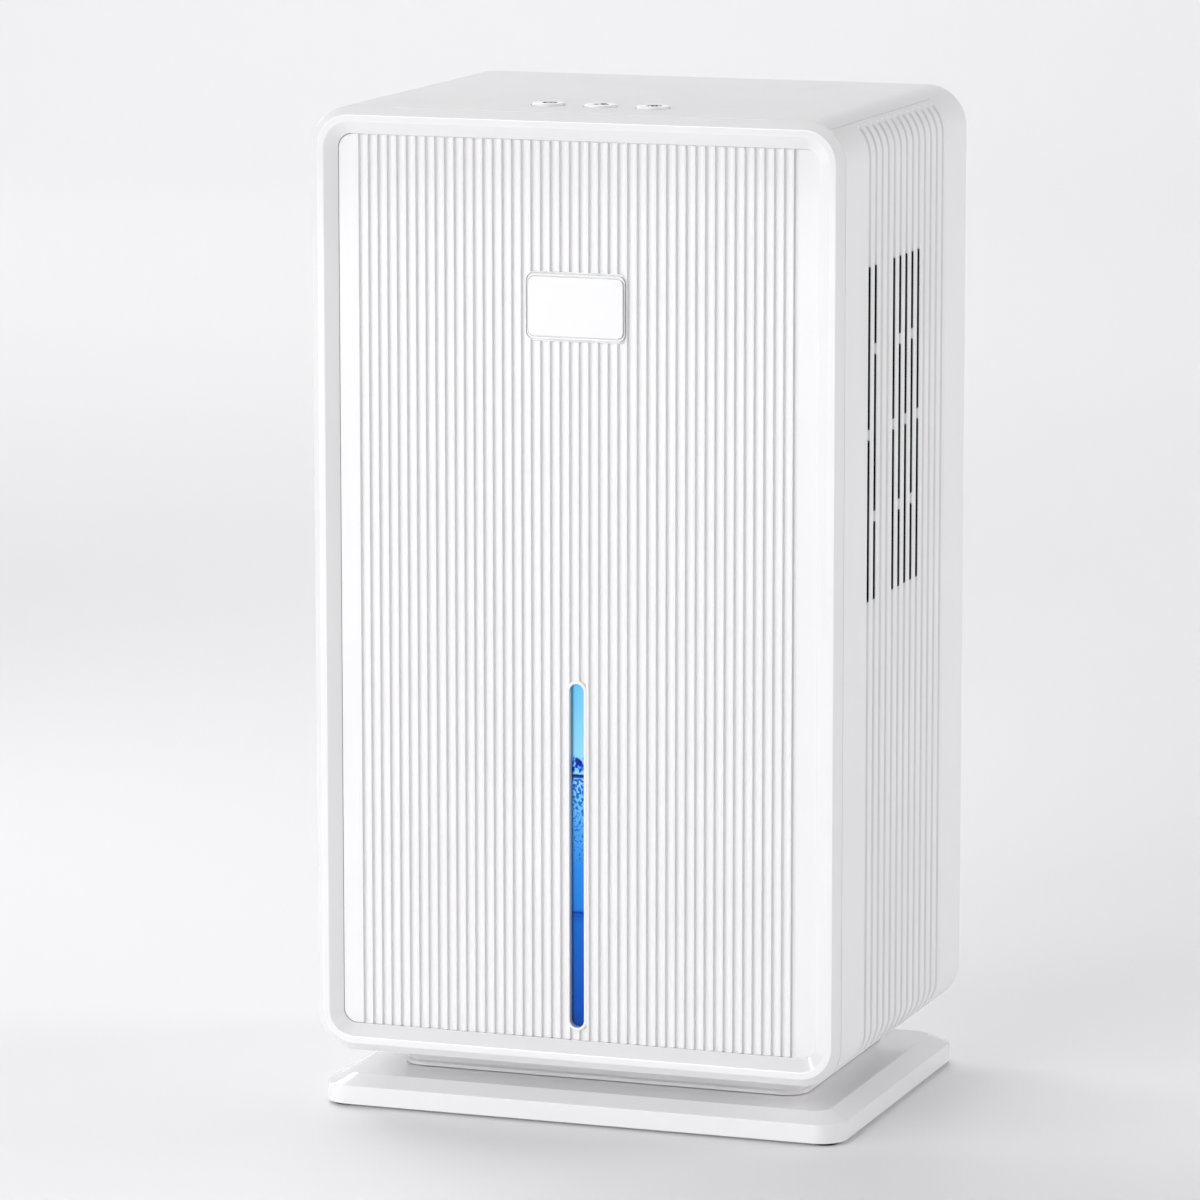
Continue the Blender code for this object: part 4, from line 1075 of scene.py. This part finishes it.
def make_rear_cover():
    """A tray that closes the back, with exhaust slots, the tank's opening and the inlet's hole."""
    edge = 2.2
    rings = [
        lift(body_outline(WALL), REAR - WALL, "Y"),
        lift(body_outline(WALL), SHELL_REAR + SEAM, "Y"),
        lift(body_outline(SEAM_BEVEL), SHELL_REAR + SEAM, "Y"),
        lift(body_outline(0.0), SHELL_REAR + SEAM + SEAM_BEVEL, "Y"),
    ]
    for turn in range(7):
        angle = math.radians(90.0 * turn / 6)
        outline = body_outline(edge * (1.0 - math.cos(angle)))
        rings.append(lift(outline, REAR - edge * (1.0 - math.sin(angle)), "Y"))
    cover = solid("rear_cover_fine", loft(rings))
    inside = REAR - WALL - 2.0
    half = EXHAUST_SLOT_WIDTH / 2
    slots = []
    for column in range(-4, 5):
        x = column * GROOVE_PITCH
        reach = math.sqrt(FAN_BORE ** 2 - x ** 2)
        lower = (FAN_CENTRE - reach, FAN_CENTRE - EXHAUST_BRIDGE / 2)
        upper = (FAN_CENTRE + EXHAUST_BRIDGE / 2, FAN_CENTRE + reach)
        for low, high in (lower, upper):
            outline = rounded_rectangle((x - half, low), (x + half, high), half - 0.1, 6)
            slots.append(prism(outline, inside, REAR + 1.0, "Y"))
    cut(cover, *slots)
    clear = 0.4
    low = (fascia_low.x - clear, fascia_low.z - clear)
    high = (fascia_high.x + clear, fascia_high.z + clear)
    hole = rounded_rectangle(low, high, FASCIA_CORNER + clear, 10)
    inlet_low, inlet_high = span("power_inlet")
    inlet = (inlet_low + inlet_high) / 2
    inlet_hole = rod((inlet.x, inlet.z), INLET_RADIUS, inside, REAR + 1.0, "Y")
    cut(cover, prism(hole, inside, REAR + 1.0, "Y"), inlet_hole)
    wells = []
    seat = SCREW_HEAD + GAP
    for x, z in rear_screw_places():
        profile = (
            (0.0, REAR - 2.0),
            (seat, REAR - 2.0),
            (seat, REAR - 0.3),
            (seat + 0.5, REAR + 0.2),
            (seat + 0.5, REAR + 1.0),
            (0.0, REAR + 1.0),
        )
        wells.append(turned(profile, (x, z), "Y", 32))
    cut(cover, *wells)
    dress(cover, "satin_white", "housing", "rear_cover")


def make_fascia():
    """The tank's rear face, with eased edges and a finger grip."""
    skirt = 2.0
    skirt_drop = 0.6
    front = REAR - WALL
    face = fascia_high.y

    def outline(inset, radius, drop=0.0):
        low = (fascia_low.x + inset, fascia_low.z + inset)
        high = (fascia_high.x - inset, fascia_high.z - drop - inset)
        return rounded_rectangle(low, high, radius, 8)

    rings = []
    for turn in range(5):
        angle = math.radians(90.0 * turn / 4)
        inset = 0.8 * (1.0 - math.sin(angle))
        rings.append(lift(outline(inset, FASCIA_CORNER - inset), face - 0.8 * (1.0 - math.cos(angle)), "Y"))
    skirt_outer = outline(skirt, 3.0, skirt_drop)
    skirt_inner = outline(2 * skirt, 1.5, skirt_drop)
    rings.append(lift(outline(0.0, FASCIA_CORNER), front, "Y"))
    rings.append(lift(skirt_outer, front, "Y"))
    rings.append(lift(skirt_outer, fascia_low.y, "Y"))
    rings.append(lift(skirt_inner, fascia_low.y, "Y"))
    rings.append(lift(skirt_inner, front, "Y"))
    fascia = solid("tank_fascia_fine", loft(rings))
    back = fascia_low.y + 1.7
    join(fascia, block((-GRIP_HALF_WIDTH - skirt, back - 1.5, GRIP_BOTTOM - skirt),
                       (GRIP_HALF_WIDTH + skirt, front + 1.0, GRIP_TOP + skirt)))
    pocket = []
    pocket_section = (
        (back + 0.5, -1.0),
        (back + 0.9, -0.3),
        (back + 1.6, 0.0),
        (face - 0.8, 0.0),
        (face - 0.25, 0.2),
        (face, 0.7),
        (face + 1.0, 0.7),
    )
    for y, grow in pocket_section:
        low = (-GRIP_HALF_WIDTH - grow, GRIP_BOTTOM - grow)
        high = (GRIP_HALF_WIDTH + grow, GRIP_TOP + grow)
        pocket.append(lift(rounded_rectangle(low, high, GRIP_CORNER + grow, 8), y, "Y"))
    cut(fascia, loft(pocket))
    dress(fascia, "satin_white", "tank", "tank_fascia")


def cross_recess(thing, place, level, axis):
    """Cut a cross recess into a screw's head."""
    for wide, tall in ((1.9, 0.35), (0.35, 1.9)):
        low = (place[0] - wide, place[1] - tall)
        high = (place[0] + wide, place[1] + tall)
        outline = [low, (high[0], low[1]), high, (low[0], high[1])]
        cut(thing, prism(outline, level - 1.0, level + 1.0, axis))


def make_screw(name, axis, place, head, tip):
    """A domed pan-head screw; the head's seat is at one level and the tip at another."""
    away = 1.0 if head > tip else -1.0
    profile = [(0.0, head + away * 1.5)]
    for radius, rise in ((1.2, 1.48), (2.2, 1.36), (2.9, 1.12), (3.35, 0.75), (3.58, 0.3), (3.6, 0.0)):
        profile.append((radius, head + away * rise))
    profile += [(1.9, head), (1.9, tip), (0.0, tip)]
    screw = solid(name + "_fine", turned(profile, place, axis, 32))
    cross_recess(screw, place, head + away * 1.5, axis)
    dress(screw, "steel", "housing", name)


def make_screws():
    for number in range(1, 5):
        name = "rear_screw_%d" % number
        low, high = span(name)
        make_screw(name, "Y", ((low.x + high.x) / 2, (low.z + high.z) / 2), high.y - 1.5, low.y)
        name = "base_screw_%d" % number
        low, high = span(name)
        make_screw(name, "Z", ((low.x + high.x) / 2, (low.y + high.y) / 2), low.z + 1.5, high.z)


# Base

def plate_outline(inset):
    low = (plate_low.x + inset, plate_low.y + inset)
    high = (plate_high.x - inset, plate_high.y - inset)
    return rounded_rectangle(low, high, BASE_CORNER - inset / 2, 12)


def base_screw_hole(number, bottom, top):
    low, high = span("base_screw_%d" % number)
    return rod(((low.x + high.x) / 2, (low.y + high.y) / 2), BASE_SCREW_HOLE, bottom, top, "Z")


def make_base_plate():
    """A flat plate, gently sloped round its top edge and hollow underneath."""
    top = plate_high.z
    edge_top = top - BASE_SLOPE_RISE
    bottom = plate_low.z
    section = fillet([
        (BASE_RIM, top - BASE_THICKNESS, 0.0),
        (BASE_RIM, bottom, 0.4),
        (0.0, bottom, 0.5),
        (0.0, edge_top, 0.6),
        (BASE_SLOPE_WIDTH, top, 0.0),
    ], 10)
    rings = [lift(plate_outline(inset), z, "Z") for inset, z in section]
    plate = solid("base_plate_fine", loft(rings))
    pockets = []
    for number in range(1, 5):
        low, high = span("rubber_foot_%d" % number)
        radius = (high.x - low.x) / 2 + GAP
        middle = ((low.x + high.x) / 2, (low.y + high.y) / 2)
        pockets.append(rod(middle, radius, bottom - 1.0, high.z + GAP, "Z"))
        pockets.append(base_screw_hole(number, bottom, top + 1.0))
    cut(plate, *pockets)
    dress(plate, "gloss_white", "housing", "base_plate", crease=12.0, finish="base_white")


def make_neck():
    """A plinth with a thin rounded lip round its foot, open underneath."""
    bottom = neck_low.z
    top = neck_high.z
    lip = 1.4
    # The last corner only gives the rounding before it a direction
    section = fillet([
        (-lip, bottom, 0.0),
        (-lip, bottom + 1.3, 0.4),
        (0.0, bottom + 1.9, 0.5),
        (0.0, top, 0.2),
        (30.0, top, 0.0),
    ])[:-1]

    def outline(inset):
        low = (neck_low.x + lip + inset, neck_low.y + lip + inset)
        high = (neck_high.x - lip - inset, neck_high.y - lip - inset)
        return rounded_rectangle(low, high, NECK_CORNER - inset, 12)

    rings = [lift(outline(WALL), top - WALL, "Z"), lift(outline(WALL), bottom, "Z")]
    rings += [lift(outline(inset), z, "Z") for inset, z in section]
    neck = solid("base_neck_fine", loft(rings))
    cut(neck, *[base_screw_hole(number, bottom - 1.0, top + 1.0) for number in range(1, 5)])
    dress(neck, "gloss_white", "housing", "base_neck", finish="base_white")


# Stage

def stage_material(name, color, roughness, glow):
    finish = Finish(name)
    finish.color(finish.spread(finish.noise(1.2, 1.0), 0.0, 1.0), shade(color, 0.99), color)
    finish.roughness(finish.noise(4.0), roughness - 0.02, roughness + 0.02)
    finish.set(Emission_Color=(1.0, 1.0, 1.0, 1.0), Emission_Strength=glow)
    return finish.material


def make_backdrop():
    """A pale sweep: a floor that curves up into a wall behind the object."""
    half = 9.0
    bend = 1.4
    wall = 4.6
    profile = [(-9.0, 0.0), (wall - bend, 0.0)]
    for step in range(1, 17):
        angle = math.radians(90.0 * step / 16)
        profile.append((wall - bend + bend * math.sin(angle), bend - bend * math.cos(angle)))
    profile.append((wall, 4.0))
    vertices = []
    faces = []
    for y, z in profile:
        vertices += [(-half, y, z), (half, y, z)]
    for index in range(len(profile) - 1):
        corner = 2 * index
        faces.append((corner, corner + 1, corner + 3, corner + 2))
    mesh = bpy.data.meshes.new("backdrop")
    mesh.from_pydata(vertices, [], faces)
    mesh.shade_smooth()
    mesh.materials.append(stage_material("backdrop", (0.86, 0.86, 0.87), 0.45, 0.03))
    backdrop = bpy.data.objects.new("backdrop", mesh)
    bpy.context.scene.collection.objects.link(backdrop)


def area_light(name, place, target, size, power):
    data = bpy.data.lights.new(name, "AREA")
    data.shape = "RECTANGLE"
    data.size, data.size_y = size
    data.energy = power
    light = bpy.data.objects.new(name, data)
    light.location = place
    light.rotation_euler = (Vector(target) - Vector(place)).to_track_quat("-Z", "Y").to_euler()
    bpy.context.scene.collection.objects.link(light)


def make_lights():
    world = bpy.data.worlds.new("studio")
    world.use_nodes = True
    background = world.node_tree.nodes["Background"]
    background.inputs["Color"].default_value = (0.985, 0.98, 1.0, 1.0)
    background.inputs["Strength"].default_value = 0.2
    bpy.context.scene.world = world
    middle = (0.0, 0.0, 0.2)
    area_light("front_key", (-0.9, -3.3, 1.2), middle, (1.6, 1.6), 53.0)
    area_light("left_key", (-2.3, -2.0, 1.1), middle, (1.6, 1.8), 34.0)
    area_light("front_right", (2.0, -2.2, 1.0), middle, (1.4, 1.6), 3.0)
    area_light("right_fill", (2.7, -0.5, 0.9), middle, (1.2, 1.6), 9.0)
    area_light("right_rim", (2.4, 1.1, 1.0), middle, (1.2, 1.6), 27.0)
    area_light("overhead", (0.0, -0.3, 2.6), middle, (2.0, 2.0), 3.5)
    area_light("rear_top", (-1.6, 1.2, 2.2), middle, (1.6, 1.2), 6.5)
    area_light("top_left", (-0.75, 0.4, 0.75), (0.0, 0.0, 0.4), (0.4, 0.4), 2.2)
    area_light("wall_wash", (-1.8, 2.4, 2.8), (-1.7, 3.6, 0.3), (3.0, 1.4), 59.0)


def make_camera():
    """The camera stands to the right of the front, a little above the top, with a long lens."""
    data = bpy.data.cameras.new("camera")
    data.sensor_width = 36.0
    data.lens = 201.9
    camera = bpy.data.objects.new("camera", data)
    camera.location = (0.8753, -2.5289, 0.6526)
    yaw, pitch, roll = 19.460, 9.617, 0.027
    camera.rotation_euler = (math.radians(90.0 - pitch), math.radians(roll), math.radians(yaw))
    bpy.context.scene.collection.objects.link(camera)
    bpy.context.scene.camera = camera


materials = make_materials()
dress_nodes()
make_front_frame()
make_front_panel()
make_badge()
make_window()
make_side_shell("right_side_shell_fine", "right_side_shell", 1)
make_side_shell("left_side_shell_fine", "left_side_shell", -1)
make_top_panel()
make_buttons()
make_rear_cover()
make_fascia()
make_screws()
make_base_plate()
make_neck()
make_backdrop()
make_lights()
make_camera()
bpy.context.scene.view_settings.view_transform = "Standard"
